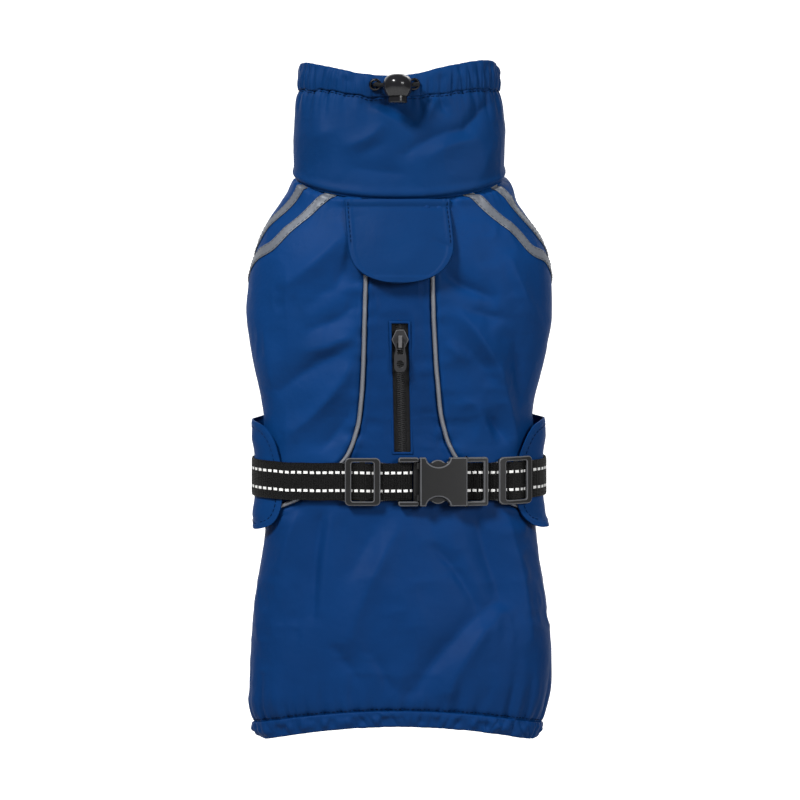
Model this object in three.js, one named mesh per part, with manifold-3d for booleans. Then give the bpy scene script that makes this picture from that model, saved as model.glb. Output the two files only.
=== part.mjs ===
// Dog raincoat, size M, filled out and upright as it is worn, with the back of the coat towards -Y.
// Millimetres. +X is the coat's right in a view from behind it, -Y the dog's back, +Y its belly, +Z its head.
// The origin is the middle of the neck ring, level with the collar seam at the middle of the back.
import * as THREE from "three";
import { mergeVertices } from "three/addons/utils/BufferGeometryUtils.js";
import Module from "manifold-3d";

const wasm = await Module();
wasm.setup();

// Driving sizes
const CLOTH = 1.6; // wall of the coat
const GAP = 0.3; // running gap at a seam or under a piece that lies on another
const LAP = 1; // clearance where one cloth lies over another
const COLUMNS = { back: 10.5, side: 10, belly: 12.5 }; // longest step across each panel
const SHORTEST_DEGREE = 1.3; // a panel's columns are counted with at least this distance a degree
const COLLAR_COLUMNS = 40;
const BACK_FULLNESS = 0.05; // how square the rings are
const COLLAR_SEAM_TILT = 18; // rise of the collar seam from the back to the sides
const STITCH_Z = 68; // stitch line under the casing, at the back
const STITCH_RISE = 3; // and how much higher it is at the sides
const COLLAR_TOP_Z = 83; // top edge at the back
const COLLAR_TOP_RISE = 8.5; // and how much higher it is at the sides
const BELT_Z = -188.3;
const BELT_WIDTH = 25;
const BELT_THICK = 1.4;
const BELT_RISE = 16; // the belt is this much higher under the belly
const HEM_HEIGHT = 11;
const HEM_SEAM = -340.7;
const LEG_HOLE_TOP = -40;
const VENTRAL = 128; // degrees from the middle of the back to the belly panel's seam
const WING_LIFT = 6.4; // how far the wing tabs stand off the flank at the belt
const WING_PUFF = 1.6; // and how much further above and below it
const ZIP_WINDOW = { top: -82.5, bottom: -168.9, width: 11.7, topX: 0.6, bottomX: 2.4 };

// Rings of the body, from the collar seam to the hem seam: height at the back, rise towards the belly,
// dip at the sides, half widths, half depths and how far the right side lies behind the left.
const BODY_RINGS = [
  { at: 0, tilt: 18, dip: 0, left: 69, right: 70.5, back: 36, belly: 38, skew: 0 },
  { at: -5.5, tilt: 17.2, dip: 0, left: 72.7, right: 76, back: 37, belly: 40, skew: 0 },
  { at: -15, tilt: 15.7, dip: 0, left: 79, right: 81.3, back: 38.5, belly: 43, skew: 0 },
  { at: -28, tilt: 13.5, dip: 0, left: 89.8, right: 90.4, back: 40.5, belly: 48, skew: 1 },
  { at: -50, tilt: 10.3, dip: 0, left: 99.2, right: 101.2, back: 42, belly: 54, skew: 2 },
  { at: -80, tilt: 6, dip: 0, left: 102.4, right: 103.7, back: 41.5, belly: 56.5, skew: 4 },
  { at: -98, tilt: 4, dip: 0, left: 100, right: 100.7, back: 40, belly: 54, skew: 5 },
  { at: -118, tilt: 2, dip: 0, left: 96.3, right: 96.6, back: 37.5, belly: 48, skew: 6 },
  { at: -142, tilt: 0.6, dip: 0, left: 91.4, right: 90.6, back: 33.5, belly: 40, skew: 7 },
  { at: -156, tilt: 0, dip: 0, left: 91, right: 91.6, back: 32, belly: 37.5, skew: 8 },
  { at: -188, tilt: 0, dip: 0, left: 91, right: 91.8, back: 32, belly: 37, skew: 8 },
  { at: -206, tilt: 0, dip: 0, left: 91, right: 92, back: 32, belly: 37, skew: 8 },
  { at: -222, tilt: 0, dip: 0, left: 91.2, right: 94, back: 34, belly: 38, skew: 6 },
  { at: -245, tilt: 0, dip: 0, left: 94, right: 96, back: 37, belly: 40, skew: 5 },
  { at: -272, tilt: 0, dip: 0, left: 98, right: 100, back: 39.5, belly: 43, skew: 3 },
  { at: -300, tilt: 0, dip: 0, left: 101.2, right: 103.8, back: 41, belly: 45, skew: 1 },
  { at: -322, tilt: 0, dip: 2, left: 101.5, right: 103, back: 41, belly: 45, skew: 0 },
  { at: -333, tilt: 0, dip: 5, left: 101.7, right: 100, back: 40, belly: 44, skew: 0 },
  { at: HEM_SEAM, tilt: 0, dip: 8.2, left: 98, right: 96, back: 38.5, belly: 42.5, skew: 0 },
  { at: HEM_SEAM - HEM_HEIGHT, tilt: 0, dip: 8.2, left: 95, right: 93.5, back: 37, belly: 41, skew: 0 },
];

// Rings of the collar: share of its height, half widths and half depth.
const COLLAR_RINGS = [
  { at: 1, left: 66, right: 66, back: 34, belly: 34 },
  { at: 0.93, left: 68.5, right: 68, back: 35, belly: 35 },
  { at: 0.75, left: 70.2, right: 70.2, back: 36, belly: 36 },
  { at: 0.45, left: 71, right: 71.2, back: 37, belly: 37 },
  { at: 0.15, left: 70.6, right: 71, back: 37.2, belly: 38 },
  { at: 0, left: 69.4, right: 70.8, back: 36.4, belly: 38.2 },
];

// Seam of the back panel, which the piping follows: height and distance from the middle, then in degrees
// where it runs round the flank.
const YOKE_SEAM = [
  { at: 0, left: -22.3, right: 22.2 },
  { at: -12, left: -22.2, right: 22.2 },
  { at: -26, left: -22.1, right: 22.2 },
  { at: -40, left: -22, right: 22.3 },
  { at: -54, left: -22.1, right: 22.5 },
  { at: -67, left: -22.5, right: 22.8 },
  { at: -82, left: -22.9, right: 23.3 },
  { at: -97, left: -23.3, right: 24.1 },
  { at: -112, left: -23.8, right: 24.9 },
  { at: -126, left: -24.5, right: 26.2 },
  { at: -138, left: -25.6, right: 27.3 },
  { at: -149, left: -27, right: 29.2 },
  { at: -158, left: -29.4, right: 31.6 },
  { at: -166, left: -32.2, right: 34.8 },
  { at: -173, left: -36, right: 38.8 },
  { at: -181, left: -43.5, right: 46 },
  { at: -189, left: -52.5, right: 54.5 },
  { at: -195, left: -60, right: 61.5 },
  { at: -199.5, left: -67, right: 68 },
  { at: -204, left: -77, right: 77.5 },
];
const FLANK_SEAM = [
  { at: -205.4, angle: 65 },
  { at: -206.5, angle: 73 },
  { at: -208.6, angle: 90 },
  { at: -210.6, angle: 107 },
  { at: -212.4, angle: 122 },
];
const SKIRT_ROWS = [-222, -233, -245, -258, -271, -284, -297, -309, -320, -329, -335.5, HEM_SEAM];
const FLANK_EDGE = [
  { at: -213, angle: 126 },
  { at: -245, angle: 125 },
  { at: -300, angle: 121 },
  { at: HEM_SEAM, angle: 118 },
];

// Free edge of the side panel and of the belly panel, in degrees from the middle of the back. The leg
// holes are the gap between them.
const SIDE_EDGE = [
  { at: 0, angle: VENTRAL },
  { at: -12, angle: VENTRAL },
  { at: -26, angle: VENTRAL },
  { at: -40, angle: VENTRAL },
  { at: -54, angle: 119 },
  { at: -66, angle: 110.5 },
  { at: -80, angle: 108 },
  { at: -94, angle: 110.5 },
  { at: -106, angle: 118 },
  { at: -114, angle: 126.5 },
  { at: -130, angle: 127 },
  { at: -213, angle: 126 },
];
const BELLY_EDGE = [
  { at: 0, angle: VENTRAL },
  { at: -12, angle: VENTRAL },
  { at: -26, angle: VENTRAL },
  { at: -40, angle: VENTRAL },
  { at: -54, angle: 138 },
  { at: -66, angle: 146 },
  { at: -80, angle: 148 },
  { at: -94, angle: 145 },
  { at: -104, angle: 139 },
  { at: -116, angle: 133 },
  { at: -127, angle: 127.5 },
  { at: -136, angle: 121 },
  { at: -142, angle: 112 },
  { at: -145, angle: 101 },
  { at: -146.5, angle: 90 },
  { at: -148.5, angle: 79.5 },
  { at: -152, angle: 70.5 },
  { at: -160, angle: 63.5 },
  { at: -172, angle: 59.5 },
  { at: -186, angle: 57.5 },
  { at: -200, angle: 57.6 },
  { at: -208, angle: 59 },
  { at: -214, angle: 62 },
  { at: -218, angle: 67.5 },
  { at: -220.5, angle: 77 },
  { at: -221.5, angle: 86 },
];

// Folds as soft ridges (+) and troughs (-) on the back: both ends in the plane seen from behind, the
// height and the half width.
const BACK_FOLDS = [
  { x1: -74, z1: -56, x2: -40, z2: -27, high: 2.4, wide: 8 },
  { x1: -42, z1: -60, x2: -33, z2: -38, high: -1.8, wide: 6 },
  { x1: -56, z1: -85, x2: -30, z2: -72, high: -2, wide: 6 },
  { x1: -57, z1: -100, x2: -29, z2: -90, high: 1.8, wide: 6 },
  { x1: -80, z1: -128, x2: -33, z2: -101, high: -2, wide: 7 },
  { x1: -68, z1: -152, x2: -32, z2: -110, high: 2.4, wide: 7 },
  { x1: 30, z1: -49, x2: 61, z2: -64, high: -2.4, wide: 6 },
  { x1: 76, z1: -42, x2: 95, z2: -82, high: 1.6, wide: 6 },
  { x1: 43, z1: -79, x2: 69, z2: -118, high: 2.6, wide: 7 },
  { x1: 69, z1: -118, x2: 78, z2: -150, high: 2.2, wide: 6 },
  { x1: 47, z1: -73, x2: 72, z2: -80, high: -1.6, wide: 6 },
  { x1: 80, z1: -97, x2: 83, z2: -130, high: -2, wide: 7 },
  { x1: 33, z1: -96, x2: 45, z2: -108, high: 1.4, wide: 6 },
  { x1: -80, z1: -246, x2: -67, z2: -212, high: 2, wide: 8 },
  { x1: -51, z1: -212, x2: -57, z2: -275, high: -2.2, wide: 7 },
  { x1: -1, z1: -225, x2: -31, z2: -290, high: 2.4, wide: 10 },
  { x1: -43, z1: -300, x2: -28, z2: -318, high: -1.4, wide: 6 },
  { x1: 26, z1: -234, x2: 50, z2: -268, high: -2, wide: 6 },
  { x1: 54, z1: -212, x2: 69, z2: -264, high: -2.4, wide: 9 },
  { x1: 64, z1: -268, x2: 10, z2: -328, high: -2.6, wide: 9 },
  { x1: 68, z1: -277, x2: 33, z2: -320, high: 2, wide: 8 },
  { x1: 74, z1: -220, x2: 88, z2: -292, high: 2.2, wide: 8 },
];
const BELLY_FOLDS = [
  { x1: -40, z1: -20, x2: -20, z2: -70, high: 1.6, wide: 9 },
  { x1: 36, z1: -30, x2: 12, z2: -90, high: -1.8, wide: 8 },
  { x1: -50, z1: -140, x2: -8, z2: -118, high: 1.8, wide: 8 },
  { x1: 54, z1: -150, x2: 14, z2: -124, high: -1.6, wide: 8 },
  { x1: -80, z1: -232, x2: -92, z2: -300, high: -2, wide: 8 },
  { x1: 82, z1: -236, x2: 93, z2: -300, high: 2, wide: 8 },
];
const COLLAR_FOLDS = [
  { x1: -19, z1: 66, x2: 8, z2: 53, high: -2.4, wide: 5 },
  { x1: 57, z1: 62, x2: 44, z2: 48, high: -1.8, wide: 5 },
  { x1: 44, z1: 48, x2: 4, z2: 31, high: -1.6, wide: 6 },
  { x1: 19, z1: 55, x2: 22, z2: 64, high: 1.6, wide: 4 },
  { x1: -28, z1: 20, x2: 0, z2: 17, high: -1.4, wide: 9 },
  { x1: -56, z1: 42, x2: -44, z2: 46, high: 1.2, wide: 10 },
  { x1: -32, z1: 36, x2: -12, z2: 47, high: 1.3, wide: 6 },
];

// The leash flap: height and both edges of each row.
const FLAP_THICK = 1.8;
const FLAP_BASE = 0.5;
const FLAP_STAND_OFF = 0.6;
const FLAP_TOP_DROP = 6; // it starts to stand off here
const FLAP_END_DROP = 56;
const FLAP_LIFT = 5.4; // how far its end stands off more than its top
const FLAP_STEPS = 10;
const FLAP_ROWS = [
  { z: -0.9, left: -35.2, right: 33.1 },
  { z: -5.3, left: -35.2, right: 33.6 },
  { z: -14, left: -34.7, right: 34.5 },
  { z: -23, left: -34, right: 35.3 },
  { z: -30.5, left: -33.5, right: 35.9 },
  { z: -37.7, left: -32.4, right: 34.9 },
  { z: -44.3, left: -29.7, right: 31.6 },
  { z: -49, left: -25.4, right: 27.2 },
  { z: -52.6, left: -19.4, right: 20.6 },
  { z: -55, left: -11.6, right: 12 },
  { z: -56.1, left: -4, right: 4 },
];

const PIPING_TOP = -25; // hidden under the flap above this
const PIPING_END = 66; // degrees round the flank, hidden under the wing tab past this
const PIPING_SECTION = [[-1.3, 0.3], [-1.1, 1.1], [-0.5, 1.7], [0.5, 1.7], [1.1, 1.1], [1.3, 0.3]];

// Reflective tapes: middle line in the plane seen from behind, then as angle and height past the outline.
const TAPE_WIDTH = 6.8;
const TAPE_BASE = 0.5;
const TAPE_THICK = 0.6;
const TAPE_STEPS = 14;
const TAPES = {
  left_lower: [
    { x: -48.7, z: 2.4 }, { x: -54, z: -1.7 }, { x: -64, z: -11 }, { x: -74, z: -19.6 },
    { x: -84.7, z: -30.5 }, { angle: -78, at: -46 }, { angle: -92, at: -57 }, { angle: -104, at: -66 },
  ],
  left_upper: [
    { angle: -67, at: -1.8 }, { angle: -71.5, at: -11.5 }, { angle: -76.5, at: -21.5 },
    { angle: -82.5, at: -31 }, { angle: -90, at: -39.5 }, { angle: -100, at: -47.5 },
    { angle: -110, at: -54.5 }, { angle: -114.5, at: -57.5 },
  ],
  right_lower: [
    { x: 49.5, z: 2.6 }, { x: 58.7, z: -4.8 }, { x: 70, z: -14.3 }, { x: 80, z: -22.6 },
    { x: 89, z: -33 }, { angle: 77, at: -46 }, { angle: 92, at: -57 }, { angle: 104, at: -66 },
  ],
  right_upper: [
    { angle: 67, at: -1.8 }, { angle: 71.5, at: -11.5 }, { angle: 76.5, at: -21.5 },
    { angle: 82.5, at: -31 }, { angle: 90, at: -39.5 }, { angle: 100, at: -47.5 },
    { angle: 110, at: -54.5 }, { angle: 114.5, at: -57.5 },
  ],
};

// Belt and its fittings
const BELT_OVER_PIPING = 2.2;
const BELT_OVER_WING = 3.7;
const BELT_CLEAR = 0.55;
const BELT_STEPS = 76;
const SLIDE = { length: 23.5, height: 31.9, window: 26, bar: 4.4, middleBar: 3, middleTop: 2, top: 3.7 };
const SLIDE_RISE = 2.3; // the webbing climbs this much over a slide's middle bar
const SLIDE_CLIMB = { from: 7.2, to: 2.2 }; // distances from the bar between which it climbs
const SLIDE_WEB_STEPS = [-7.2, -5, -2.2, 0, 2.2, 5, 7.2];
const SLIDES = [{ side: "left", angle: -15.6 }, { side: "right", angle: 55.5 }];
const BUCKLE = {
  start: -1, joint: 13, bodyEnd: 43.7, end: 57.7, height: 32.7, window: 26, bar: 3, cross: 3.4,
  low: 2.3, frameTop: 7.4, top: 10.2, armLow: 4.4, armHigh: 8.2, armEnd: 37, armIn: 8.6, armOut: 12.6,
  padStart: 19.9, padEnd: 29.9, padIn: 11.6, padOut: 14.8, pocket: 27.4, pocketEnd: 38.5,
  cutX: 24.9, cutLong: 15.6, cutDeep: 6.4, maleWebEnd: 8.6, femaleWebEnd: 44.6, webRise: 1.6,
  webBarLow: 0.5, webBarTop: 3.1, overBar: 1.3, climb: 3,
};

const ZIP_TAPE_WIDTH = 12.5;
const ZIP_SLIDER = {
  x: 0.85, width: 10.6, top: -87, bottom: -100.3, face: -42.4, back: -39.5,
  bridge: 2.2, bridgeTop: -91, bridgeBottom: -98.8, bridgeFace: -46.2, post: 1.3,
};
const PULL_TAB = {
  width: 8.2, thick: 1.5, y: -43.65, top: -94.4, bottom: -115,
  window: 3.8, windowTop: -96, windowBottom: -103.5, hole: 4.8, holeZ: -109.8,
};

// Collar drawstring: eyelets, cord route and cord lock
const CASING_RING = { left: 66.3, right: 66.3, back: 34.2, belly: 34.2 };
const CASING_WAVES = 26;
const CASING_COLUMNS = 84;
const HEM_WAVES = 50;
const HEM_COLUMNS = 112;
const DRILL = 60; // long enough to pass through the back of the coat from its middle
const CORD_RADIUS = 1.3;
const EYELETS = [
  { side: "left", x: -15.8, z: 76.3, bore: 2.1, face: -37.2, lean: -7 },
  { side: "right", x: 10, z: 76.6, bore: 2.1, face: -37.5, lean: 4.5 },
];
const CORD_LOCK = {
  x: -0.8, y: -48.2, z: 75.2, bore: 4.9, capBore: 6.6, cordHole: 1.9,
  shaft: 4.6, capRadius: 6.3, slotBottom: 69.3,
};
const CORD_ROUTE = [
  { x: -15.8, y: -34.6, z: 76.3 }, { x: -15.8, y: -39.5, z: 76.3 }, { x: -15, y: -44, z: 75.9 },
  { x: -12, y: -47.3, z: 75.4 }, { x: -8, y: -48.2, z: 75.2 }, { x: -0.8, y: -48.2, z: 75.2 },
  { x: 6, y: -48.2, z: 75.2 }, { x: 9.8, y: -48.1, z: 75.3 }, { x: 12.6, y: -46, z: 75.8 },
  { x: 12.2, y: -42.2, z: 76.3 }, { x: 10.3, y: -39.4, z: 76.6 }, { x: 10, y: -35, z: 76.6 },
];

const COLOURS = {
  collar: 0x183a71, back: 0x17396e, side: 0x1a3e76, wing: 0x1c3f75, flap: 0x173a72,
  tape: 0x757a82, piping: 0x838692, webbing: 0x1a1a18, buckle: 0x2b2b2b, slide: 0x2f2f2e,
  zip: 0x242423, metal: 0x8a8a8c, cordLock: 0x2a2a2e, eyelet: 0x1c1c1e, cord: 0x161617,
};

const radians = THREE.MathUtils.degToRad;
const unwrap = (angle) => (angle > 180 ? angle - 360 : angle);
const lerp = THREE.MathUtils.lerp;
const smooth = (value, low, high) => THREE.MathUtils.smoothstep(value, low, high);

// One value of a table of rows at a height between them, as a smooth curve through the rows.
function along(rows, key, at) {
  const last = rows.length - 1;
  const down = rows[0].at > rows[last].at ? 1 : -1;
  let i = 0;
  while (i < last - 1 && (rows[i + 1].at - at) * down > 0) i += 1;
  const slope = (a, b) => (rows[b][key] - rows[a][key]) / (rows[b].at - rows[a].at);
  const span = rows[i + 1].at - rows[i].at;
  const t = THREE.MathUtils.clamp((at - rows[i].at) / span, 0, 1);
  const start = slope(Math.max(i - 1, 0), i + 1) * span;
  const end = slope(i, Math.min(i + 2, last)) * span;
  const from = rows[i][key];
  const to = rows[i + 1][key];
  const rise = to - from;
  const curve = from + t * (start + t * (3 * rise - 2 * start - end + t * (start + end - 2 * rise)));
  return THREE.MathUtils.clamp(curve, Math.min(from, to) - 0.2, Math.max(from, to) + 0.2);
}

// A point of a ring: angle in degrees from the middle of the back, positive to the right.
function ringXY(ring, angle) {
  const turn = radians(angle);
  const depth = Math.cos(turn) > 0 ? ring.back : ring.belly;
  const square = (1 + BACK_FULLNESS) * Math.cos(turn) - BACK_FULLNESS * Math.cos(3 * turn);
  const x = (angle < 0 ? ring.left : ring.right) * Math.sin(turn);
  return [x, -depth * square + (ring.skew ?? 0) * Math.sin(turn)];
}

function bodyRing(at) {
  const keys = ["tilt", "dip", "left", "right", "back", "belly", "skew"];
  return Object.fromEntries(keys.map((key) => [key, along(BODY_RINGS, key, at)]));
}

function bodyBase(angle, at) {
  const ring = bodyRing(at);
  const [x, y] = ringXY(ring, angle);
  const turn = radians(angle);
  const rise = ring.tilt * (1 - Math.cos(turn)) - ring.dip * Math.sin(turn) ** 2;
  return new THREE.Vector3(x, y, at + rise);
}

const seamZ = (angle) => COLLAR_SEAM_TILT * (1 - Math.cos(radians(angle)));
const stitchZ = (angle) => STITCH_Z + STITCH_RISE * Math.sin(radians(angle)) ** 2;
const collarTopZ = (angle) => COLLAR_TOP_Z + COLLAR_TOP_RISE * Math.sin(radians(angle)) ** 2;

function collarBase(angle, share) {
  const keys = ["left", "right", "back", "belly"];
  const ring = Object.fromEntries(keys.map((key) => [key, along(COLLAR_RINGS, key, share)]));
  const [x, y] = ringXY(ring, angle);
  return new THREE.Vector3(x, y, lerp(seamZ(angle), stitchZ(angle), share));
}

// The way out of a surface at one of its points.
function outward(base, angle, at, step) {
  const across = base(angle + 0.5, at).sub(base(angle - 0.5, at));
  const up = base(angle, at + step).sub(base(angle, at - step));
  return across.cross(up).normalize();
}

// Height of the folds at a point, from a table of ridges and troughs.
function foldHeight(folds, x, z) {
  let height = 0;
  for (const fold of folds) {
    const dx = fold.x2 - fold.x1;
    const dz = fold.z2 - fold.z1;
    const share = ((x - fold.x1) * dx + (z - fold.z1) * dz) / (dx * dx + dz * dz);
    const t = THREE.MathUtils.clamp(share, 0, 1);
    const away = Math.hypot(x - fold.x1 - t * dx, z - fold.z1 - t * dz) / fold.wide;
    height += fold.high * Math.exp(-away * away);
  }
  return height;
}

// Folds die out at the seams, under the belt and where another piece lies on the cloth.
function bodyFolds(angle, at, point) {
  const beltAway = Math.abs(at - BELT_Z - BELT_RISE * beltShare(angle));
  const calm = smooth(beltAway, 16, 30) * smooth(-at, 4, 20) * smooth(at, HEM_SEAM + 2, HEM_SEAM + 16);
  const side = Math.cos(radians(angle));
  const back = foldHeight(BACK_FOLDS, point.x, point.z) * smooth(side, -0.1, 0.2);
  const belly = foldHeight(BELLY_FOLDS, point.x, point.z) * smooth(-side, -0.1, 0.2);
  const yoke = Math.abs(angle) < 90 && at > -200 ? smooth(Math.abs(point.x), 24, 36) : 1;
  return calm * (back * yoke + belly);
}

function bodyPoint(angle, at, offset, folded = true) {
  const point = bodyBase(angle, at);
  const lift = offset + (folded ? bodyFolds(angle, at, point) : 0);
  return point.addScaledVector(outward(bodyBase, angle, at, 0.5), lift);
}

function collarPoint(angle, share, offset) {
  const point = collarBase(angle, share);
  const calm = smooth(share, 0.02, 0.15) * smooth(1 - share, 0.02, 0.12);
  const facing = smooth(Math.cos(radians(angle)), 0, 0.3);
  const hidden = foldHeight(COLLAR_FOLDS, -point.x, point.z) * smooth(-Math.cos(radians(angle)), 0, 0.3);
  const folds = calm * (foldHeight(COLLAR_FOLDS, point.x, point.z) * facing + hidden);
  return point.addScaledVector(outward(collarBase, angle, share, 0.02), offset + folds);
}

// Share of the belt's rise at an angle.
function beltShare(angle) {
  return ((1 - Math.cos(radians(angle))) / 2) ** 2;
}

// How far the belly panel's outer face stands off the body.
function wingLift(angle, at) {
  const free = smooth(-at, -LEG_HOLE_TOP, 100);
  const beltAway = Math.abs(at - BELT_Z - BELT_RISE * beltShare(angle));
  const full = WING_LIFT + WING_PUFF * smooth(beltAway, BELT_WIDTH / 2 + 1, BELT_WIDTH + 2);
  const away = (Math.abs(angle) - 91) / 25;
  return free * (CLOTH + LAP + (full - CLOTH - LAP) * Math.exp(-away * away));
}

// A closed wall between two sheets of points, given as rows from top to bottom that run to the right.
// Rows may differ in their number of points; a loop joins each row's end to its start.
function wall(outer, inner, loop = false) {
  const points = [];
  const ids = [outer, inner].map((sheet) => sheet.map((row) => row.map((point) => points.push(point) - 1)));
  const faces = [];
  const strip = (a, b, flip) => {
    const over = loop ? [...a, a[0]] : a;
    const under = loop ? [...b, b[0]] : b;
    let i = 0;
    let j = 0;
    while (i < over.length - 1 || j < under.length - 1) {
      const lead = (i + 1) / (over.length - 1) <= (j + 1) / (under.length - 1) + 1e-9;
      const next = lead ? over[i + 1] : under[j + 1];
      faces.push(flip ? [over[i], next, under[j]] : [over[i], under[j], next]);
      if (lead) i += 1;
      else j += 1;
    }
  };
  const band = (a, b) => strip(a, b, false);
  for (let row = 0; row < outer.length - 1; row += 1) {
    strip(ids[0][row], ids[0][row + 1], false);
    strip(ids[1][row], ids[1][row + 1], true);
  }
  const last = outer.length - 1;
  band(ids[1][0], ids[0][0]);
  band(ids[0][last], ids[1][last]);
  if (!loop) {
    for (let row = 0; row < last; row += 1) {
      const [o, p] = [ids[0][row], ids[0][row + 1]];
      const [q, r] = [ids[1][row], ids[1][row + 1]];
      faces.push([o[0], q[0], r[0]], [o[0], r[0], p[0]]);
      faces.push([o.at(-1), r.at(-1), q.at(-1)], [o.at(-1), p.at(-1), r.at(-1)]);
    }
  }
  const geometry = new THREE.BufferGeometry();
  const flat = points.flatMap((p) => [p.x, p.y, p.z]);
  geometry.setAttribute("position", new THREE.Float32BufferAttribute(flat, 3));
  geometry.setIndex(faces.flat());
  return geometry;
}

function toSolid(geometry) {
  const plain = geometry.clone();
  plain.deleteAttribute("normal");
  plain.deleteAttribute("uv");
  const merged = mergeVertices(plain, 1e-4);
  const vertProperties = new Float32Array(merged.attributes.position.array);
  const triVerts = new Uint32Array(merged.index.array);
  return new wasm.Manifold(new wasm.Mesh({ numProp: 3, vertProperties, triVerts }));
}

function toGeometry(solid) {
  const mesh = solid.getMesh();
  const geometry = new THREE.BufferGeometry();
  geometry.setAttribute("position", new THREE.Float32BufferAttribute(mesh.vertProperties, 3));
  geometry.setIndex([...mesh.triVerts]);
  return geometry;
}

const coat = new THREE.Group();

function add(name, geometry, color, roughness = 0.8, metalness = 0) {
  geometry.computeVertexNormals();
  const mesh = new THREE.Mesh(geometry, new THREE.MeshStandardMaterial({ color, roughness, metalness }));
  mesh.name = name;
  coat.add(mesh);
  return mesh;
}

// Distance round the body for one degree at a place.
function perDegree(place) {
  return bodyBase(place.angle + 1, place.at).distanceTo(bodyBase(place.angle - 1, place.at)) / 2;
}

// A seam as places on the body, moved to one side of it by half the gap.
function besideSeam(seam, side, shift = GAP / 2) {
  return seam.map((place, i) => {
    const before = seam[Math.max(i - 1, 0)];
    const after = seam[Math.min(i + 1, seam.length - 1)];
    const unit = perDegree(place);
    const alongX = (after.angle - before.angle) * unit;
    const alongZ = after.at - before.at;
    const length = Math.hypot(alongX, alongZ);
    const acrossX = (-alongZ / length) * side * shift;
    const acrossZ = (alongX / length) * side * shift;
    return { angle: place.angle + acrossX / unit, at: place.at + acrossZ };
  });
}

// The panel between two edges that have as many places as each other.
function panel(leftEdge, rightEdge, faces, column) {
  const rows = leftEdge.map((start, i) => {
    const end = rightEdge[i];
    const middle = { angle: (start.angle + end.angle) / 2, at: (start.at + end.at) / 2 };
    const wide = Math.abs(end.angle - start.angle) * Math.max(perDegree(middle), SHORTEST_DEGREE);
    const steps = Math.max(2, Math.round(wide / column));
    return Array.from({ length: steps + 1 }, (_, k) => ({
      angle: lerp(start.angle, end.angle, k / steps),
      at: lerp(start.at, end.at, k / steps),
    }));
  });
  const sheets = faces.map((face) => rows.map((row) => row.map((place) => face(place.angle, place.at))));
  return wall(sheets[0], sheets[1]);
}

// The yoke seam as places, on one side of the back.
function yokeSeam(side) {
  const upper = YOKE_SEAM.map((row) => {
    const ring = bodyRing(row.at);
    const wide = side < 0 ? ring.left : ring.right;
    const angle = THREE.MathUtils.radToDeg(Math.asin((side < 0 ? row.left : row.right) / wide));
    return { at: row.at, angle };
  });
  return [...upper, ...FLANK_SEAM.map((row) => ({ at: row.at, angle: side * row.angle }))];
}

const outerFace = (angle, at) => bodyPoint(angle, at, 0);
const innerFace = (angle, at) => bodyPoint(angle, at, -CLOTH);
const seams = { left: yokeSeam(-1), right: yokeSeam(1) };

// The top edge of a panel keeps half the gap under the collar, and the bottom one over the hem.
function trimmed(edge) {
  const clear = (at) => THREE.MathUtils.clamp(at, HEM_SEAM + GAP / 2, -GAP / 2);
  return edge.map((place) => ({ angle: place.angle, at: clear(place.at) }));
}

function backPanel() {
  const skirt = (side) => SKIRT_ROWS.map((at) => ({ at, angle: side * along(FLANK_EDGE, "angle", at) }));
  const left = trimmed([...besideSeam(seams.left, 1), ...skirt(-1)]);
  const right = trimmed([...besideSeam(seams.right, -1), ...skirt(1)]);
  const cloth = toSolid(panel(left, right, [outerFace, innerFace], COLUMNS.back));
  const window = ZIP_WINDOW;
  const corners = [
    [window.topX - window.width / 2, window.top],
    [window.topX + window.width / 2, window.top],
    [window.bottomX + window.width / 2, window.bottom],
    [window.bottomX - window.width / 2, window.bottom],
  ];
  const outline = new THREE.Shape(corners.map(([x, z]) => new THREE.Vector2(x, z)));
  const cutter = new THREE.ExtrudeGeometry(outline, { depth: 60, bevelEnabled: false });
  cutter.rotateX(Math.PI / 2);
  return toGeometry(cloth.subtract(toSolid(cutter)));
}

function sidePanel(side) {
  const seam = side < 0 ? seams.left : seams.right;
  const free = seam.map((place) => {
    const at = place.at;
    return { at, angle: side * (along(SIDE_EDGE, "angle", at) - (at > LEG_HOLE_TOP - 1 ? 0.13 : 0)) };
  });
  const sewn = trimmed(besideSeam(seam, side < 0 ? -1 : 1));
  const edges = side < 0 ? [trimmed(free), sewn] : [sewn, trimmed(free)];
  return panel(edges[0], edges[1], [outerFace, innerFace], COLUMNS.side);
}

// The belly panel with its wing tabs, between its left edge and its right edge through 180 degrees.
function bellyPanel() {
  const heights = BELLY_EDGE.map((row) => Math.min(row.at, -GAP / 2));
  const edge = (at) => along(BELLY_EDGE, "angle", at) + (at > LEG_HOLE_TOP - 1 ? 0.13 : 0);
  const start = heights.map((at) => ({ at, angle: edge(at) }));
  const end = heights.map((at) => ({ at, angle: 360 - edge(at) }));
  const face = (depth) => (angle, at) => {
    const turn = unwrap(angle);
    return bodyPoint(turn, at, wingLift(turn, at) - depth, at > -110 || Math.abs(turn) > 100);
  };
  return panel(start, end, [face(0), face(CLOTH)], COLUMNS.belly);
}

function ringWall(columns, rows, face) {
  const sheet = (depth) => rows.map((share) => Array.from({ length: columns }, (_, k) =>
    face(-180 + (360 * k) / columns, share, depth)));
  return wall(sheet(0), sheet(CLOTH), true);
}

function collarTube() {
  const seamGap = GAP / 2 / STITCH_Z;
  const rows = [1 - seamGap, 0.9, 0.75, 0.58, 0.4, 0.2, seamGap];
  return ringWall(COLLAR_COLUMNS, rows, (angle, share, depth) => collarPoint(angle, share, 0.6 - depth));
}

// A strip along a path of places, from one sideways shift to another, between two heights.
function strip(path, shifts, low, high) {
  const columns = shifts.map((shift) => besideSeam(path, 1, shift));
  const rows = (height) => path.map((_, i) => columns.map((column) => {
    const place = column[i];
    return bodyPoint(unwrap(place.angle), place.at, height);
  }));
  return wall(rows(high), rows(low));
}

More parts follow.
